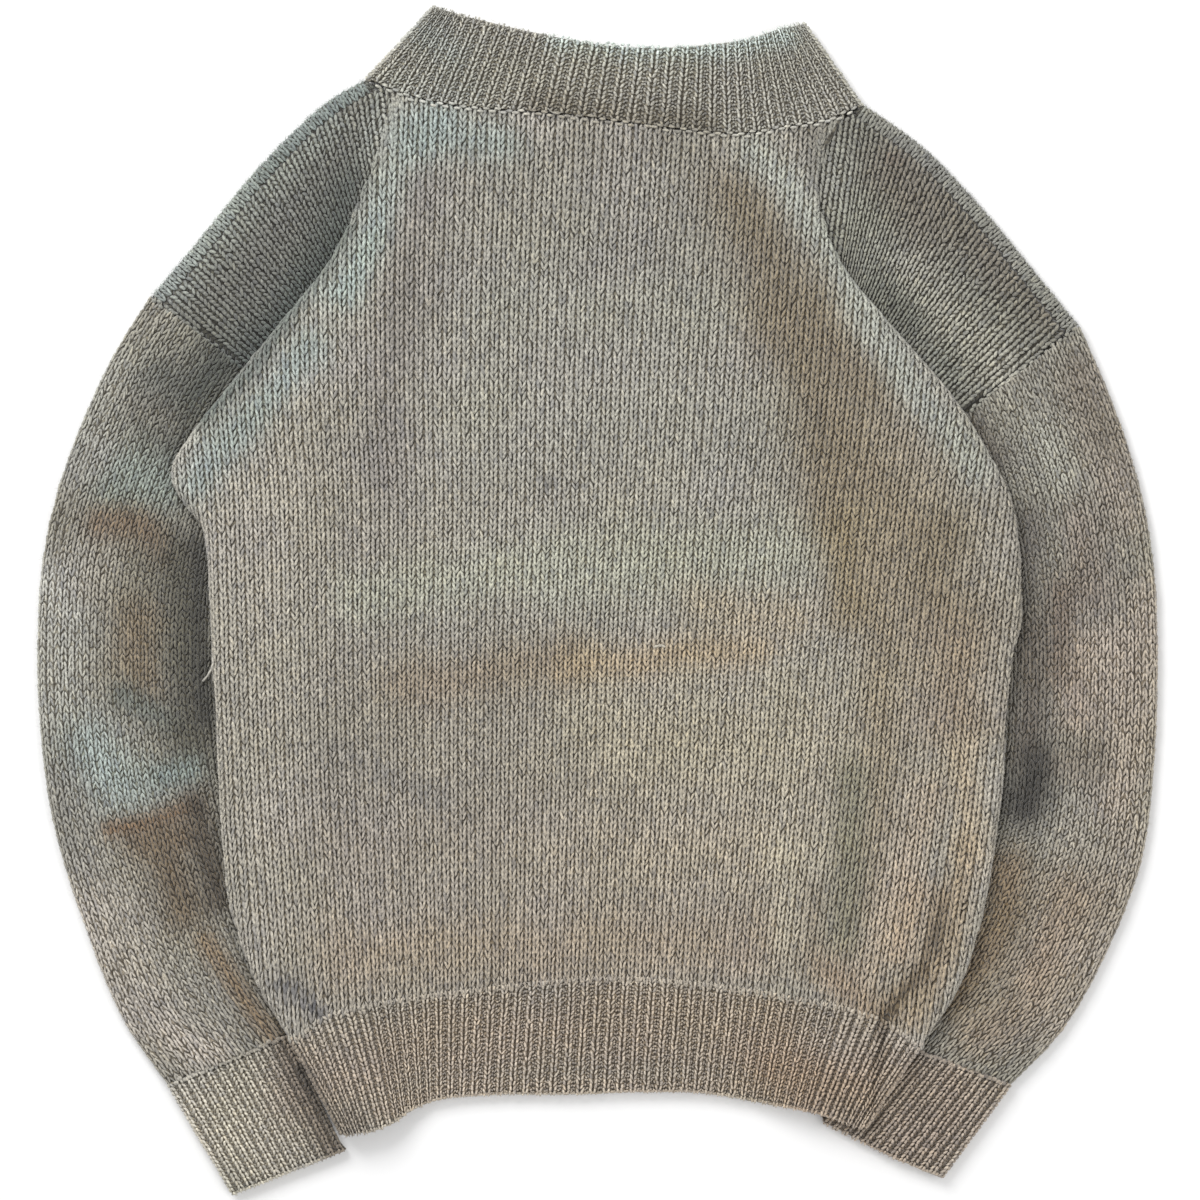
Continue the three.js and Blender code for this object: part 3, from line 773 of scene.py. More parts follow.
# yarn is lighter than the knitting looks, because the gaps between it are dark
YARN_GAIN = {"body": 1.65, "shoulder": 1.6, "sleeve": 1.8, "band": 2.34, "rim": 1.55}


def faded_and_shaded(part, x, y):
    """The colour that a part's knitting has at a place, with painted shade, before its yarn is lightened."""
    wander, drift = cloud(x, y), cloud(y + 500, x - 300)
    tint = np.broadcast_to(linear(PLAIN[part]), x.shape + (3,)).copy()
    for line, half, colour, strength in FADES_AND_SHADING[part]:
        shaken = x + 0.2 * half * wander, y + 0.2 * half * drift
        away = np.minimum.reduce([from_line(*shaken, *ends) for ends in zip(line, line[1:])])
        tint += (linear(colour) - tint) * (strength * np.exp(-0.75 * (away / half) ** 2))[..., None]
    if part == "sleeve":  # painted shade where the body lies against it
        beside = np.where(x < 0, outside(RIGHT_SIDE, x, y), outside(LEFT_SIDE, x, y))
        tint *= mix(0.82, 1, smooth((beside + 2) / 14))[..., None]
    tint *= (1 + 0.035 * wander)[..., None] * (1.005, 1.0, 0.995)
    tint[..., 2] *= 1 + 0.02 * drift
    return tint


def wool_tint(part, x, y):
    tint = faded_and_shaded(part, x, y) * YARN_GAIN[part]
    if part in ("body", "shoulder"):  # by the neck the front runs on into its shoulder without a fold
        past_edge = smooth((np.maximum(outside(RIGHT_SIDE, x, y), outside(LEFT_SIDE, x, y)) + 12) / 24)
        other, share = ("shoulder", past_edge) if part == "body" else ("body", 1 - past_edge)
        tint += (faded_and_shaded(other, x, y) * YARN_GAIN[other] - tint) * (share * smooth((y - 205) / 45))[..., None]
    return tint


# ---- materials -------------------------------------------------------------


def add(tree, kind, links=None, **settings):
    """Adds a node, sets its sockets and properties and links its inputs."""
    node = tree.nodes.new(kind)
    for name, value in settings.items():
        setattr(node, name, value)
    for socket, source in (links or {}).items():
        if isinstance(source, bpy.types.NodeSocket):
            tree.links.new(source, node.inputs[socket])
        else:
            node.inputs[socket].default_value = source
    return node


def blend(tree, share, a, b, **kind):
    """The socket of a mix of two colours."""
    return add(tree, "ShaderNodeMix", {"Factor": share, 6: a, 7: b}, data_type="RGBA", **kind).outputs[2]


def maths(tree, operation, *values):
    return add(tree, "ShaderNodeMath", dict(enumerate(values)), operation=operation).outputs[0]


def noise(tree, place, scale, roughness):
    links = {"Vector": place, "Scale": scale, "Detail": 2.0, "Roughness": roughness}
    return add(tree, "ShaderNodeTexNoise", links).outputs["Fac"]


def ranged(tree, value, low, high, **kind):
    """The socket of a value stretched so that low to high becomes 0 to 1."""
    links = {"Value": value, "From Min": low, "From Max": high}
    return add(tree, "ShaderNodeMapRange", links, **kind).outputs["Result"]


def stitch_pattern(tree):
    """Knit stitches drawn from the piece's own map, one stitch to one unit each way."""
    uv = add(tree, "ShaderNodeUVMap", uv_map="stitches").outputs["UV"]
    split = add(tree, "ShaderNodeSeparateXYZ", {0: uv})
    half = maths(tree, "PINGPONG", maths(tree, "PINGPONG", split.outputs["X"], 1.0), 0.5)
    row = maths(tree, "PINGPONG", maths(tree, "MULTIPLY_ADD", half, 1.1, split.outputs["Y"]), 0.5)
    leg = ranged(tree, row, 0.0, 0.3, interpolation_type="SMOOTHSTEP")
    gap = ranged(tree, half, 0.02, 0.22, interpolation_type="SMOOTHSTEP")
    return maths(tree, "MULTIPLY", leg, gap)


def wool_finish(name, ground):
    """Marled wool yarn: matt and fuzzy, light and dark hairs spun together.

    On the ground cloth the stitches are drawn as bump and shade; on the yarn there is only the
    spin of the fibres.
    """
    material = bpy.data.materials.new(name)
    material.use_nodes = True
    tree = material.node_tree
    shader = tree.nodes["Principled BSDF"]
    tint = add(tree, "ShaderNodeAttribute", attribute_name="wool_tint").outputs["Color"]
    place = add(tree, "ShaderNodeTexCoord").outputs["Object"]
    # tufts of hair about 1.5 mm long, and single hairs too fine to show, drawn 0.5 mm across
    tufts = noise(tree, place, 620.0, 0.7)
    height, depth = noise(tree, place, 1900.0, 0.6), 0.00025
    marl = blend(tree, ranged(tree, tufts, 0.36, 0.66), (0.60, 0.59, 0.59, 1), (1.20, 1.19, 1.15, 1))
    colour = blend(tree, 1.0, tint, marl, blend_type="MULTIPLY")
    if ground:
        stitch = stitch_pattern(tree)
        shade = blend(tree, stitch, (0.24, 0.21, 0.17, 1), (0.95, 0.89, 0.78, 1))
        colour = blend(tree, 1.0, colour, shade, blend_type="MULTIPLY")
        height, depth = maths(tree, "MULTIPLY_ADD", stitch, 3.0, height), 0.0004
    bump = add(tree, "ShaderNodeBump", {"Height": height, "Distance": depth, "Strength": 0.8})
    tree.links.new(colour, shader.inputs["Base Color"])
    tree.links.new(bump.outputs["Normal"], shader.inputs["Normal"])
    shader.inputs["Roughness"].default_value = 0.92
    shader.inputs["IOR"].default_value = 1.5
    shader.inputs["Specular IOR Level"].default_value = 0.2
    shader.inputs["Sheen Weight"].default_value = 0.35
    shader.inputs["Sheen Roughness"].default_value = 0.6
    return material


YARN = wool_finish("marled_wool_yarn", ground=False)
GROUND_KNIT = wool_finish("marled_wool_knitting", ground=True)


# ---- making pieces ---------------------------------------------------------


def new_piece(name, mesh, material):
    piece = bpy.data.objects.new(name, mesh)
    bpy.context.scene.collection.objects.link(piece)
    mesh.materials.append(material)
    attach(piece, "root")
    return piece


def lay_grid(bm, columns, rows, chart):
    """A grid of cloth laid on a chart of (u, v) in 0..1, with its stitch map and tint."""
    made = bmesh.ops.create_grid(bm, x_segments=columns, y_segments=rows, size=0.5)["verts"]
    spots = np.array([v.co[:2] for v in made]) + 0.5
    points, stitches, tints = chart(spots[:, 0], spots[:, 1])
    stitch_layer = bm.verts.layers.float_vector["stitch_place"]
    tint_layer = bm.verts.layers.float_color["wool_tint"]
    for vertex, point, stitch, tint in zip(made, points * MM, stitches, tints):
        vertex.co = point
        vertex[stitch_layer] = (*stitch, 0)
        vertex[tint_layer] = (*tint, 1)


def ground_cloth(name, node, charts, thickness=GROUND):
    """The ground of one piece of knitting: grids laid on charts, with a wall's thickness."""
    bm = bmesh.new()
    bm.verts.layers.float_vector.new("stitch_place")
    bm.verts.layers.float_color.new("wool_tint")
    for columns, rows, chart in charts:
        lay_grid(bm, columns, rows, chart)
    bmesh.ops.remove_doubles(bm, verts=bm.verts, dist=1e-5)
    stitch_layer = bm.verts.layers.float_vector["stitch_place"]
    uv = bm.loops.layers.uv.new("stitches")
    for face in bm.faces:
        face.smooth = True
        for loop in face.loops:
            loop[uv].uv = loop.vert[stitch_layer][:2]
    mesh = bpy.data.meshes.new(name)
    bm.to_mesh(mesh)
    bm.free()
    piece = new_piece(name, mesh, GROUND_KNIT)
    wall = piece.modifiers.new("wall", "SOLIDIFY")
    wall.thickness = thickness * MM
    wall.offset = -1
    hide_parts(node)


def spindle(columns, rings):
    """A spindle of yarn 2 units long and 2 across, pointed at both ends."""
    bm = bmesh.new()
    bmesh.ops.create_uvsphere(bm, u_segments=columns, v_segments=rings, radius=1)
    bm.verts.ensure_lookup_table()
    points = np.array([v.co[:] for v in bm.verts])
    faces = [[v.index for v in f.verts] for f in bm.faces]
    bm.free()
    plump = np.maximum(length(points[:, :2]), 1e-9) ** -0.25
    points[:, :2] *= np.where(length(points[:, :2]) > 0.01, plump, 1)[:, None]
    return points, faces


ROUND_SPINDLE = spindle(4, 4)
THIN_SPINDLE = spindle(4, 3)
HAIR = spindle(3, 2)


def joined_copies(name, shape, points, tints):
    """One mesh of many spindles. points is (copies, corners, 3) in mm, tints (copies, 3)."""
    copies, corners, _ = points.shape
    sizes = np.array([len(f) for f in shape[1]])
    loops = np.concatenate(shape[1])
    shift = np.arange(copies)[:, None] * corners
    mesh = bpy.data.meshes.new(name)
    mesh.vertices.add(copies * corners)
    mesh.vertices.foreach_set("co", (points * MM).astype(np.float32).ravel())
    mesh.loops.add(copies * len(loops))
    mesh.loops.foreach_set("vertex_index", (loops[None] + shift).astype(np.int32).ravel())
    mesh.polygons.add(copies * len(sizes))
    starts = np.concatenate([[0], np.cumsum(np.tile(sizes, copies))[:-1]])
    mesh.polygons.foreach_set("loop_start", starts.astype(np.int32))
    mesh.polygons.foreach_set("use_smooth", np.ones(copies * len(sizes), bool))
    colour = mesh.attributes.new("wool_tint", "FLOAT_COLOR", "POINT")
    tinted = np.repeat(np.concatenate([tints, np.ones((copies, 1))], axis=1), corners, axis=0)
    colour.data.foreach_set("color", tinted.astype(np.float32).ravel())
    mesh.update(calc_edges=True)
    mesh.validate()
    return new_piece(name, mesh, YARN)


def yarn_colours(part, x, y):
    """Each leg of yarn takes the cloth's tint there, a little lighter, darker or bluer."""
    tint = wool_tint(part, x, y)
    tint *= (1 + 0.08 * chance.standard_normal(x.shape))[..., None]
    odd = chance.random(x.shape)
    tint[odd < 0.07] *= (0.78, 0.79, 0.83)
    tint[odd > 0.93] *= (1.08, 1.06, 1.02)
    return np.clip(tint, 0.01, 0.95)


def legs(
    shape, chart, facing, w, c, part, *,
    lean=0.235, splay=0.135, tall=0.8, wide=0.20, thick=1.0, lift=-0.2, up=1, loose=0.09,
):  # fmt: skip
    """Both legs of each knit stitch at columns w and rows c, carried onto a chart.

    lean, splay and wide are parts of a column; tall, thick and lift are mm; loose is how uneven
    the stitches are.
    """
    w, c = np.repeat(w, 2), np.repeat(c, 2)
    hand = np.tile([-1.0, 1.0], len(w) // 2)
    jitter = lambda size: size * chance.standard_normal(len(w))
    spots = shape[0]
    t = spots[:, 2]
    size = 1 + jitter(loose)
    middle = (w + jitter(loose * 0.35))[:, None]
    across = middle + hand[:, None] * (lean + (splay + jitter(loose * 0.4)[:, None]) * t)
    across = across + spots[:, 0] * wide * size[:, None]
    along = (c + jitter(loose * tall))[:, None] - up * tall * t * size[:, None]
    # the foot of each V comes out over the stitch below, and its arms go under the one above
    height = lift + jitter(0.12)[:, None] + 0.2 * (1 - t * t) - 0.22 * t + spots[:, 1] * thick * size[:, None]
    middle = chart(w, c)
    points = raised(chart, across, along, height, facing)
    return points, yarn_colours(part, middle[..., 0], middle[..., 1])


def rungs(shape, chart, facing, w, c, part, wide, tall, thick, lift, shade, slope=0.0):
    """Short bars of yarn lying across a chart, such as the purl bumps in the hollows of a rib."""
    jitter = lambda size: size * chance.standard_normal(len(w))
    across = w[:, None] + shape[0][:, 2] * wide
    along = (c + jitter(0.3))[:, None] + shape[0][:, 0] * tall + np.reshape(slope, (-1, 1)) * shape[0][:, 2]
    height = lift + jitter(0.1)[:, None] + shape[0][:, 1] * thick
    middle = chart(w, c)
    points = raised(chart, across, along, height, facing)
    return points, yarn_colours(part, middle[..., 0], middle[..., 1]) * shade


def hairs(chart, facing, w, c, part, reach=3.0):
    """Loose hairs of the wool, lying every way a little over the stitches."""
    n = len(w)
    base = raised(chart, w, c, chance.uniform(0.3, 1.1, n), facing)
    turn, tilt = chance.uniform(0, FULL_TURN, n), chance.uniform(-0.15, 0.35, n)
    along = stack(np.cos(turn) * np.cos(tilt), np.sin(turn) * np.cos(tilt), np.sin(tilt))
    across = stack(-np.sin(turn), np.cos(turn), 0 * turn)
    up = np.cross(along, across)
    spots, half = HAIR[0], (reach * chance.uniform(0.5, 1.0, n))[:, None, None]
    points = base[:, None] + along[:, None] * spots[:, 2:3] * half
    points += (across[:, None] * spots[:, :1] + up[:, None] * spots[:, 1:2]) * HAIR_RADIUS
    return points, np.clip(yarn_colours(part, base[:, 0], base[:, 1]) * 1.1, 0, 0.95)


def lattice(w_from, w_to, c_from, c_to, c_step=1.0):
    w, c = np.meshgrid(np.arange(w_from, w_to), np.arange(c_from, c_to, c_step))
    return w.ravel().astype(float), c.ravel().astype(float)


def stitches(name, slot, shape, *groups):
    points = np.concatenate([g[0] for g in groups])
    tints = np.concatenate([g[1] for g in groups])
    joined_copies(name, shape, points, tints)


# ---- ground cloths ---------------------------------------------------------


UNDER_SHADE = 0.95  # the ground cloth is darkened by this where nothing lies over it


def dressed(points, columns, rows, part, shade):
    """Points of the ground cloth with the stitch each is in and its tint, darkened by shade: painted shade in
    the gaps between the stitches that lie over it.
    """
    tint = wool_tint(part, points[:, 0], points[:, 1])
    return points, stack(columns, rows), tint * np.reshape(shade, (-1, 1))


def flipped(chart):
    """The same chart with v running the other way, so that the grid faces up."""
    return lambda u, v: chart(u, 1 - v)


def mirrored(chart):
    """The same chart with u running the other way round."""
    return lambda u, v: chart(1 - u, v)


def front_centre(u, v):
    level = mix(HEM_LEVEL, CLOTH_TOP, v)
    flat_left, flat_right, start, end = front_reach(level)
    # the columns of the grid are closer round the edges: a twelfth of them at each side
    share = 0.08
    x = mix(flat_left, flat_right, (u - share) / (1 - 2 * share))
    x = np.where(u < share, mix(start, flat_left, u / share), x)
    x = np.where(u > 1 - share, mix(flat_right, end, (u - 1 + share) / share), x)
    w, c = body_stitch(x, level)
    return dressed(raised(front_knit, w, c, np.full_like(w, -SUNK), -1), w, c, "body", 0.5)


def below_neck(place, z):
    points = at_height(place, z)
    points[:, 1] = np.minimum(points[:, 1], neck_line(points[:, 0]) - SEAM)
    return points


def front_yoke(side):
    def chart(u, v):
        edge, pleat = side.shoulder_curve(v), side.pleat(v)
        inward = unit(pleat - edge)
        place = mix2(edge + inward * (SHOULDER_SEAM_IN + SEAM), pleat + inward * 6, u)
        points = below_neck(place, np.full_like(u, FLAT - SUNK))
        rows = length(place - edge) / SHOULDER_ROW
        return dressed(points, v * side.shoulder_length / SHOULDER_WALE, rows, "shoulder", 0.4)

    return flipped(chart if side.sign < 0 else mirrored(chart))


def back_centre(u, v):
    level = mix(HEM_LEVEL, CLOTH_TOP, v)
    inset = 15 * smooth((level - 66) / 22)
    left, right = edges(level)
    turn = SIDE_ROLL * (math.pi / 2 - 1)
    x = mix(right - inset + turn, left + inset - turn, u)
    return dressed(back_at(x, level, inset), *body_stitch(x, level), "body", UNDER_SHADE)


def back_yoke(side):
    """The shoulder cloth of the back: on the table, round the shoulder edge and 7 mm back."""

    def chart(u, v):
        edge, fold = side.shoulder_curve(v), side.fold(v)
        inward = unit(side.pleat(v) - edge)
        rim = edge + inward * FOLD
        span, ring = length(rim - fold), math.pi * FOLD
        run = u * (span + ring + SHOULDER_SEAM_IN - FOLD)
        under, back = np.minimum(run, span), np.maximum(run - span - ring, 0)
        angle = np.clip(run - span, 0, ring) / FOLD
        place = fold + unit(rim - fold) * under[..., None]
        place = place - inward * (FOLD * np.sin(angle))[..., None] + inward * back[..., None]
        z = FOLD - FOLD * np.cos(angle)
        z -= SUNK * smooth((z - 3.5) / 3)
        shade = mix(UNDER_SHADE, 0.5, smooth((z - 4) / 3))
        return dressed(below_neck(place, z), v * side.shoulder_length / RIM_WALE, run / RIM_ROW, "rim", shade)

    return flipped(chart if side.sign < 0 else mirrored(chart))


def sleeve_tube(side):
    """A sleeve as a flat tube laid on the table: u runs round it and v down it.

    From the hidden fold the ring runs over the top to the outer fold and back underneath.
    """

    def chart(u, v):
        outer, inner = side.sleeve_curve(v), side.sleeve_inner(v)
        top = lambda place, from_outer: sleeve_top(side, place[..., 0], place[..., 1], from_outer)
        row, width = unit(inner - outer), length(inner - outer)
        r_outer, r_inner = top(outer, 0 * width) / 2, top(inner, width) / 2
        flat = width - r_outer - r_inner
        lengths = [flat, math.pi * r_outer, flat, math.pi * r_inner]
        stops = [0.0, 0.42, 0.5, 0.92, 1.0]
        part = [clamp01((u - start) / (end - start)) for start, end in zip(stops, stops[1:])]
        from_outer = mix(width - r_inner, r_outer, part[0] - part[2])
        place = outer + row * from_outer[..., None]
        over_outer, over_inner = math.pi * part[1], math.pi * part[3]
        on_top, on_fold, below = u <= stops[1], u <= stops[2], u <= stops[3]
        z = np.where(below, 0, r_inner - r_inner * np.cos(over_inner))
        z = np.where(on_fold, r_outer + r_outer * np.cos(over_outer), z)
        z = np.where(on_top, top(place, from_outer), z)
        facing_up = np.where(on_top, 1, np.where(on_fold, np.cos(over_outer), -1))
        z = z - SUNK * np.clip(facing_up, 0, 1) * (u < 0.5)
        place = place + row * (r_inner * np.sin(over_inner) - r_outer * np.sin(over_outer))[..., None]
        points = at_height(place, z)
        run = sum(p * l for p, l in zip(part, lengths))
        columns = (lengths[0] + lengths[1] - run) / SLEEVE_WALE
        shade = mix(UNDER_SHADE, 0.7, clamp01(facing_up))
        return dressed(points, columns, v * side.sleeve_length / SLEEVE_ROW, "sleeve", shade)

    return chart


def sleeve_ground(side):
    """The sleeve's tube with its top bent to follow the armhole seam's corner."""
    chart = sleeve_tube(side)
    corner = side.pleat(1.0)
    start, end = side.sleeve_curve(0.0), side.sleeve_inner(0.0)
    share = length(corner - start) / length(end - start)
    straight = mix2(start, end, share)

    def bent(u, v):
        v = np.maximum(v, 0.002)
        points, stitch, tint = chart(u, v)
        outer, inner = side.sleeve_curve(v), side.sleeve_inner(v)
        across = clamp01(((points[:, :2] - outer) * (inner - outer)).sum(-1) / ((inner - outer) ** 2).sum(-1))
        hump = (1 - smooth(v / 0.25)) * np.where(across < share, across / share, (1 - across) / (1 - share))
        points[:, :2] += hump[:, None] * (corner - straight)
        return points, stitch, tint

    return bent if side.sign < 0 else mirrored(bent)


def rib_ground(band, over, under=None, run=3.0):
    """Ground of a ribbed band, its knit ribs standing up as cords on the visible face.

    It goes over ribs past each end and run mm past the high line. With under, a height to
    mirror about, it is a tube: a quarter of u is its lower face.
    """
    share = 1.0 if under is None else 0.75

    def chart(u, v):
        top = u <= share
        around = np.where(top, u / share, (1 - u) / max(1 - share, 1e-9))
        k = mix(-over, band.ribs + over, around)
        h = v * (band.deep(k) + run)
        cord = np.where(top, 0.3 * np.cos(FULL_TURN * k) - SUNK, 0)
        points = raised(band.knit, k, h, cord, band.facing)
        if under is not None:
            points[:, 2] = np.where(top, points[:, 2], under - points[:, 2])
        return dressed(points, k * 2, h / RIB_KNIT_ROW, "band", np.where(top, 0.62, UNDER_SHADE))

    return chart if band.facing > 0 else flipped(chart)


def hem_back_ground(u, v):
    k = mix(-0.25, HEM_RIBS + 0.25, u)
    h = v * (back_hem.deep(k) + 1.5)
    points = back_hem.knit(k, h)
    points[:, 2] *= -1
    return dressed(points, k * 2, h / RIB_KNIT_ROW, "band", UNDER_SHADE)


front_grids = [(72, 84, front_centre)] + [(6, 20, front_yoke(side)) for side in SIDES]
back_grids = [(44, 52, back_centre)] + [(16, 22, back_yoke(side)) for side in SIDES]
neck_grid = (232, 10, rib_ground(neckband, 0.36, NECK_Z))
front_hem_grid = (220, 12, rib_ground(front_hem, 0.3))
ground_cloth("front_cloth", "front_panel", front_grids)
ground_cloth("back_cloth", "back_panel", back_grids)
ground_cloth("neckband_cloth", "neckband", [neck_grid], thickness=TUBE_GROUND)
ground_cloth("front_hem_cloth", "front_hem_rib", [front_hem_grid])
ground_cloth("back_hem_cloth", "back_hem_rib", [(100, 8, hem_back_ground)])
for side in SIDES:
    sleeve, cuff = f"{side.name}_sleeve", f"{side.name}_cuff"
    sleeve_grid = (48, 52, sleeve_ground(side))
    cuff_grid = (92, 12, rib_ground(cuffs[side], 0.35, CUFF_Z, 1.5))
    ground_cloth(f"{sleeve}_cloth", sleeve, [sleeve_grid])
    ground_cloth(f"{cuff}_cloth", cuff, [cuff_grid], thickness=TUBE_GROUND)

# ---- stitches --------------------------------------------------------------


def body_stitches():
    """Rows of the body from the neck seam to the hem, four pieces so that none is too big."""
    w, c = lattice(-56, 57, 0.6, 138.2)
    x, level = body_place(w, c)
    _, _, start, end = front_reach(level)
    shown = (x > start - 0.6) & (x < end + 0.6)
    w, c = w[shown], c[shown]
    look = dict(lean=0.21, splay=0.14, wide=0.18, thick=1.1)
    for name, low, high in (("chest", 0, 38), ("bust", 38, 71), ("waist", 71, 104), ("hip", 104, 139)):
        rows = (c >= low) & (c < high)
        knitted = legs(THIN_SPINDLE, front_knit, -1, w[rows], c[rows], "body", **look)
        stitches(f"{name}_stitches", "body_knit", THIN_SPINDLE, knitted)


def beyond_armhole(side, x, y):
    """How far points lie on the sleeve's side of the armhole seam."""
    a, b = side.sleeve_curve(0.0), side.pleat(1.0)
    line = b - a
    cross = line[0] * (y - a[1]) - line[1] * (x - a[0])
    return side.sign * cross / np.hypot(*line)


def from_shoulder(side, x, y):
    line = side.shoulder_curve(np.linspace(0, 1, 60))
    return np.hypot(x[:, None] - line[:, 0], y[:, None] - line[:, 1]).min(axis=1)


def shoulder_stitches(side):
    """Stretched stitches of the shoulder, and the back's strip that wraps over its edge."""
    chart = yoke_knit(side)
    w, c = lattice(-10.5, 27, 0.5, 60)
    x, y = chart(w, c)[:, :2].T
    shown = (from_shoulder(side, x, y) > SHOULDER_SEAM_IN + 1.4) & (outside(side, x, y) > -7)
    shown &= (beyond_armhole(side, x, y) < -1.2) & (y < neck_line(x) - 0.8) & (c > 1)
    yoke = legs(
        ROUND_SPINDLE, chart, -side.sign, w[shown], c[shown], "shoulder",
        lean=0.24, splay=0.085, wide=0.165, tall=0.66, thick=0.95,
    )  # fmt: skip
    rim_chart = rim_knit(side)
    w, c = lattice(0.3, side.shoulder_length / RIM_WALE - 0.2, 0.35, 4.4)
    x, y = rim_chart(w, c)[:, :2].T
    shown = y < neck_line(x) - 0.6
    rim = legs(ROUND_SPINDLE, rim_chart, side.sign, w[shown], c[shown], "rim", up=-1, lift=-0.4, wide=0.2)
    stitches(f"{side.name}_shoulder_stitches", "body_knit", ROUND_SPINDLE, yoke, rim)


def sleeve_stitches(side):
    chart = sleeve_knit(side)
    rows = side.sleeve_length / SLEEVE_ROW
    w, c = lattice(-1.35, 27, 0.5, rows - 0.3)
    x, y = chart(w, c)[:, :2].T
    v = clamp01(c / rows)
    across = length(side.sleeve_inner(v) - side.sleeve_curve(v))
    shown = (outside(side, x, y) > -4.5) & (w * SLEEVE_WALE < across - 5)
    shown &= beyond_armhole(side, x, y) > 1.2
    knitted = legs(
        THIN_SPINDLE, chart, side.sign, w[shown], c[shown], "sleeve",
        splay=0.15, tall=0.7, wide=0.185, thick=0.85, lift=-0.25, up=-1, loose=0.12,
    )  # fmt: skip
    stitches(f"{side.name}_sleeve_stitches", "sleeve_knit", THIN_SPINDLE, knitted)


# The purl bars' shade darkens them: painted shade in the hollows between the ribs, deeper where the ribs are
# drawn close.
OPEN_RIB = (dict(lean=0.165, wide=0.1, thick=1.05, lift=0.3), dict(lift=-0.4, shade=0.78))
CLOSE_RIB = (dict(lean=0.19, wide=0.145, thick=1.2, lift=0.4), dict(lift=-1.1, shade=0.55))


def rib_stitches(name, band, first=0.0, edged=True, drawn_in=0.0):
    """Columns of knit stitches on the ribs, and purl bars in the hollows between them.

    The ribs nearer to either end than drawn_in are plump and close, with the bars lost between them.
    """
    groups = []
    for close in sorted({drawn_in > 0, 2 * drawn_in > band.ribs}):
        knit_look, bar_look = CLOSE_RIB if close else OPEN_RIB

        def on_ribs(start, end, row):
            w, c = lattice(start, end, row * 0.5, 100, row)
            shown = (c < band.deep(w) + 1.0) & ((np.minimum(w, band.ribs - w) < drawn_in) == close)
            return w[shown], c[shown]

        w, c = on_ribs(first, band.ribs + 0.3, RIB_KNIT_ROW)
        look = dict(splay=0.06, tall=1.7, up=band.up, loose=0.08, **knit_look)
        groups.append(legs(THIN_SPINDLE, band.knit, band.facing, w, c, "band", **look))
        w, c = (np.repeat(one, 2) for one in on_ribs(first + 0.5, band.ribs, RIB_PURL_ROW))
        hand = np.tile([-1.0, 1.0], len(w) // 2)
        w = w + 0.09 * hand + 0.03 * chance.standard_normal(len(w))
        c = c + 0.45 * chance.standard_normal(len(w))
        look = dict(wide=0.1, tall=0.7, thick=0.8, **bar_look)
        look["slope"] = 0.2 * band.up * hand + 0.35 * chance.standard_normal(len(w))
        groups.append(rungs(THIN_SPINDLE, band.knit, band.facing, w, c, "band", **look))
    if edged:
        w = np.arange(first * 2, band.ribs * 2 + 0.5) / 2
        look = dict(wide=0.3, tall=1.3, thick=1.0, lift=-0.4, shade=0.95)
        groups.append(rungs(THIN_SPINDLE, band.knit, band.facing, w, band.deep(w) + 0.6, "band", **look))
    stitches(name, "rib_knit", THIN_SPINDLE, *groups)


def seam_chain(name, slot, curve, pitch, z, part, thick, wave, shade=1.08):
    """The row of small loops, high and low by turns, that a picked-up seam leaves on the face."""
    along, whole = by_length(curve)

    def chart(w, c):
        s = np.asarray(w) * pitch
        ahead = unit(along(s + 1) - along(s - 1))
        place = along(s) + stack(-ahead[..., 1], ahead[..., 0]) * np.asarray(c)[..., None]
        return at_height(place, np.full_like(s, z))

    w = np.arange(0.7, whole / pitch - 0.5)
    c = wave * (np.arange(len(w)) % 2 - 0.5) + 0.35 * chance.standard_normal(len(w))
    loops = rungs(ROUND_SPINDLE, chart, 1, w, c, part, 0.6, thick, thick * 0.9, 0, shade)
    stitches(name, slot, ROUND_SPINDLE, loops)


def neck_chain(t):
    return neck_seam(mix(0.02, 0.99, t)) - (0, 1.2)


def armhole_chain(side):
    top, bottom = side.sleeve_curve(0.0), side.pleat(1.0)
    return lambda t: mix2(np.broadcast_to(top, t.shape + (2,)), bottom, 0.02 + 0.98 * t)


def cuff_chain(side):
    return lambda t: cuff_line(side, 0)(mix(0.04, 0.98, t)) - (0, 0.6)


body_stitches()
seam_chain("neck_seam_chain", "rib_knit", neck_chain, 3.5, FLAT + 1.5, "band", 0.9, 1.7)
for side in SIDES:
    name = f"{side.name}_armhole_chain"
    seam_chain(name, "body_knit", armhole_chain(side), 2.7, FLAT + 0.8, "shoulder", 1.15, 1.7, 1.05)
rib_stitches("neckband_stitches", neckband, edged=False)
rib_stitches("hem_stitches", front_hem, drawn_in=PULLED_RIBS)
for side in SIDES:
    shoulder_stitches(side)
    sleeve_stitches(side)
    name = f"{side.name}_cuff"
    seam_chain(f"{name}_chain", "rib_knit", cuff_chain(side), 2.9, FLAT + 1.1, "band", 1.4, 0.8, 0.72)
    rib_stitches(f"{name}_stitches", cuffs[side], first=0.1, drawn_in=CUFF_RIBS)


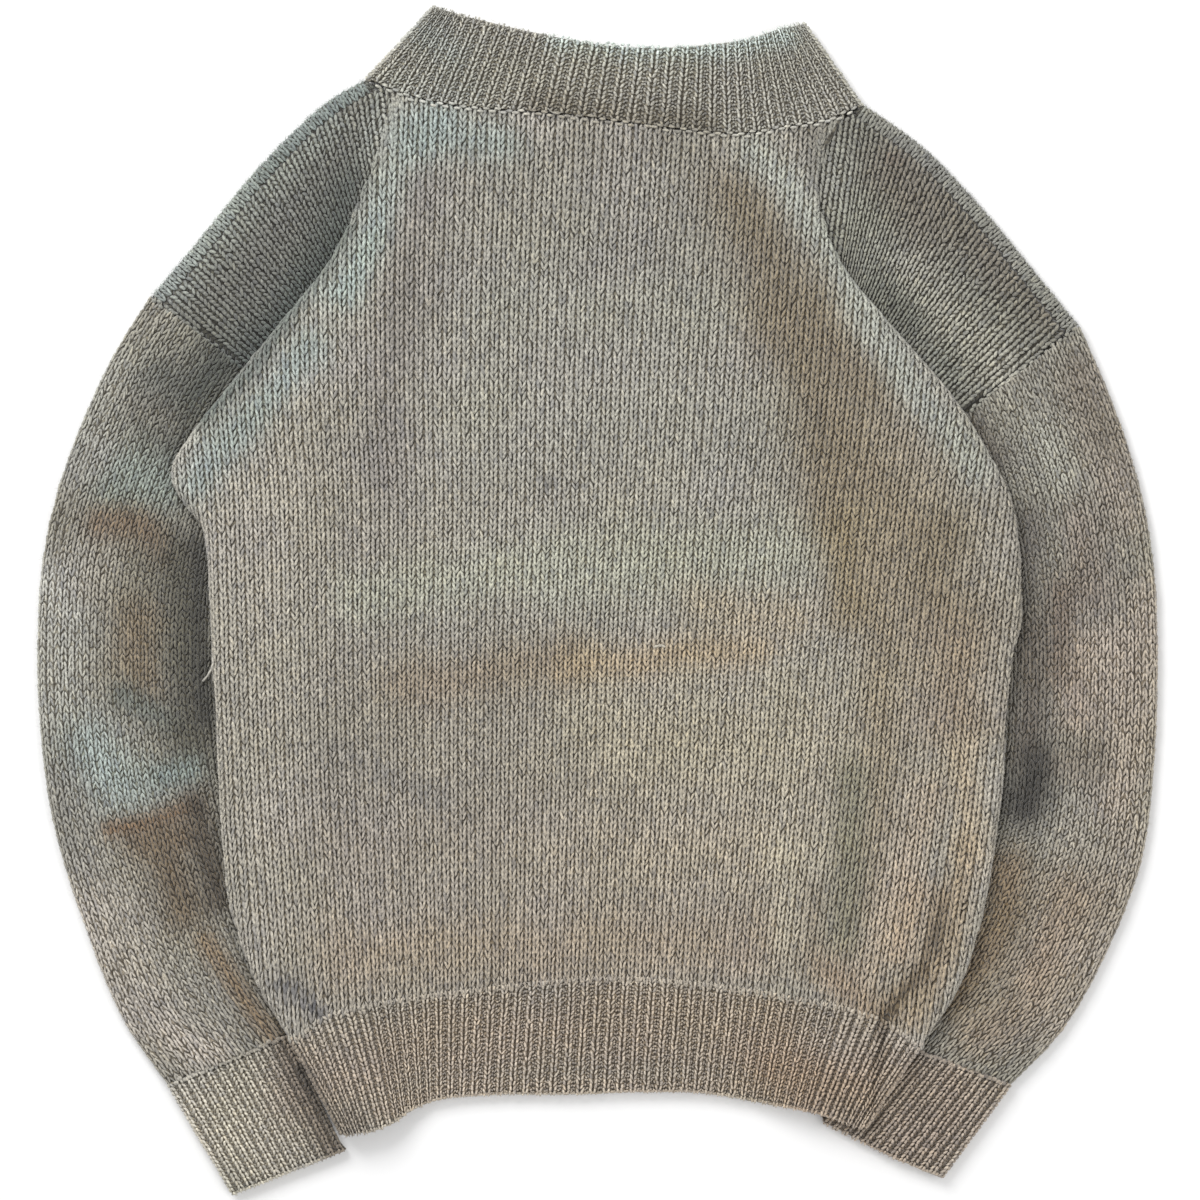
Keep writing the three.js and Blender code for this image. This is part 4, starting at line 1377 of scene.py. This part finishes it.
def fuzz():
    """Loose hairs over the whole visible face, and more of them along the folds at the sides."""

    def scattered(count, w_to, c_to, w_from=0.0):
        return chance.uniform(w_from, w_to, count), chance.uniform(0, c_to, count)

    w, c = scattered(5600, 48, 136, -48)
    x, level = body_place(w, c)
    left, right = edges(level)
    shown = (x > left) & (x < right)
    groups = [hairs(front_knit, -1, w[shown], c[shown], "body")]
    for side in SIDES:
        w, c = scattered(1800, 24, side.sleeve_length / SLEEVE_ROW, -1)
        x, y = sleeve_knit(side)(w, c)[:, :2].T
        shown = (outside(side, x, y) > 1) & (beyond_armhole(side, x, y) > 0)
        groups.append(hairs(sleeve_knit(side), side.sign, w[shown], c[shown], "sleeve"))
        w, c = scattered(500, side.shoulder_length / RIM_WALE, 4)
        groups.append(hairs(rim_knit(side), side.sign, w, c, "rim", 2.4))
        w, c = scattered(400, CUFF_RIBS, 70)
        groups.append(hairs(cuffs[side].knit, side.sign, w, c, "band", 2.4))
        _, level = body_place(0, chance.uniform(0, 136, 900))
        x = side.edge(level) - side.sign * chance.uniform(-2, 5, 900)
        groups.append(hairs(front_knit, -1, *body_stitch(x, level), "body", 2.6))
    for band, high in ((neckband, 55), (front_hem, 70)):
        w, c = scattered(1000, band.ribs, high)
        groups.append(hairs(band.knit, band.facing, w, c, "band", 2.4))
    stitches("loose_hairs", "body_knit", HAIR, *groups)


def yarn_end(points, thick, colour):
    """A loose end of yarn along a line of points, as overlapping spindles."""
    points = np.array(points, float)
    middle, half = (points[1:] + points[:-1]) / 2, np.diff(points, axis=0) / 2
    across = unit(np.cross(half, [0.0, 0.0, 1.0]))
    up = unit(np.cross(across, half))
    spots = ROUND_SPINDLE[0]
    made = middle[:, None] + half[:, None] * spots[:, 2:] * 1.35
    made = made + (across[:, None] * spots[:, :1] + up[:, None] * spots[:, 1:2]) * thick
    return made, np.tile(linear(colour), (len(middle), 1))


def mending():
    """What shows of the mending: a pale end at the side, a slub drawn in and a strand at the neck."""
    side_end = [(-237, -49, 8), (-234, -46, 12), (-231.5, -42, 15), (-230, -38, 17), (-230.5, -35, 17)]
    slub = [(34, -28.6, 7.4), (36, -27.8, 8), (38.5, -27.6, 8), (40.5, -28.4, 7.2)]
    strand = [(-30, 295, 8.6), (-27.5, 292.6, 9.2), (-24, 291.6, 8.8), (-21.5, 292.6, 8)]
    kinds = ((side_end, 0.7, "#d3cfc4"), (slub, 0.9, "#c9c4b6"), (strand, 0.5, "#a5a298"))
    stitches("mending_ends", "body_knit", ROUND_SPINDLE, *(yarn_end(*kind) for kind in kinds))


fuzz()
mending()

# ---- floor, light and camera -----------------------------------------------


def place_in_scene(name, data, location):
    thing = bpy.data.objects.new(name, data)
    thing.location = location
    bpy.context.scene.collection.objects.link(thing)
    return thing


def sweep():
    """A white floor much larger than the garment."""
    bm = bmesh.new()
    bmesh.ops.create_grid(bm, x_segments=1, y_segments=1, size=40)
    mesh = bpy.data.meshes.new("floor")
    bm.to_mesh(mesh)
    bm.free()
    paint = bpy.data.materials.new("white_paper_sweep")
    paint.use_nodes = True
    shader = paint.node_tree.nodes["Principled BSDF"]
    shader.inputs["Base Color"].default_value = (0.93, 0.93, 0.93, 1)
    shader.inputs["Roughness"].default_value = 0.9
    mesh.materials.append(paint)
    place_in_scene("floor", mesh, (0, 0, -0.0006))


def sky():
    world = bpy.data.worlds.new("studio")
    world.use_nodes = True
    background = world.node_tree.nodes["Background"]
    background.inputs["Color"].default_value = (1, 1, 1, 1)
    background.inputs["Strength"].default_value = 0.62
    bpy.context.scene.world = world
    bpy.context.scene.view_settings.view_transform = "Standard"


def lamp(name, location, size, watts):
    """A square lamp aimed at the middle of the garment."""
    data = bpy.data.lights.new(name, "AREA")
    data.size, data.energy = size, watts
    x, y, z = location
    turn = (math.acos(z / math.hypot(x, y, z)), 0, math.atan2(-y, -x) - math.pi / 2)
    place_in_scene(name, data, location).rotation_euler = turn


def camera():
    data = bpy.data.cameras.new("camera")
    data.lens, data.sensor_width = 150, 36
    bpy.context.scene.camera = place_in_scene("camera", data, (0.0015, -0.0003, 3.01))


sweep()
sky()
lamp("window_light", (-0.9, 1.3, 1.5), 1.2, 34)
lamp("fill_light", (1.2, -0.6, 1.8), 1.6, 12)
camera()

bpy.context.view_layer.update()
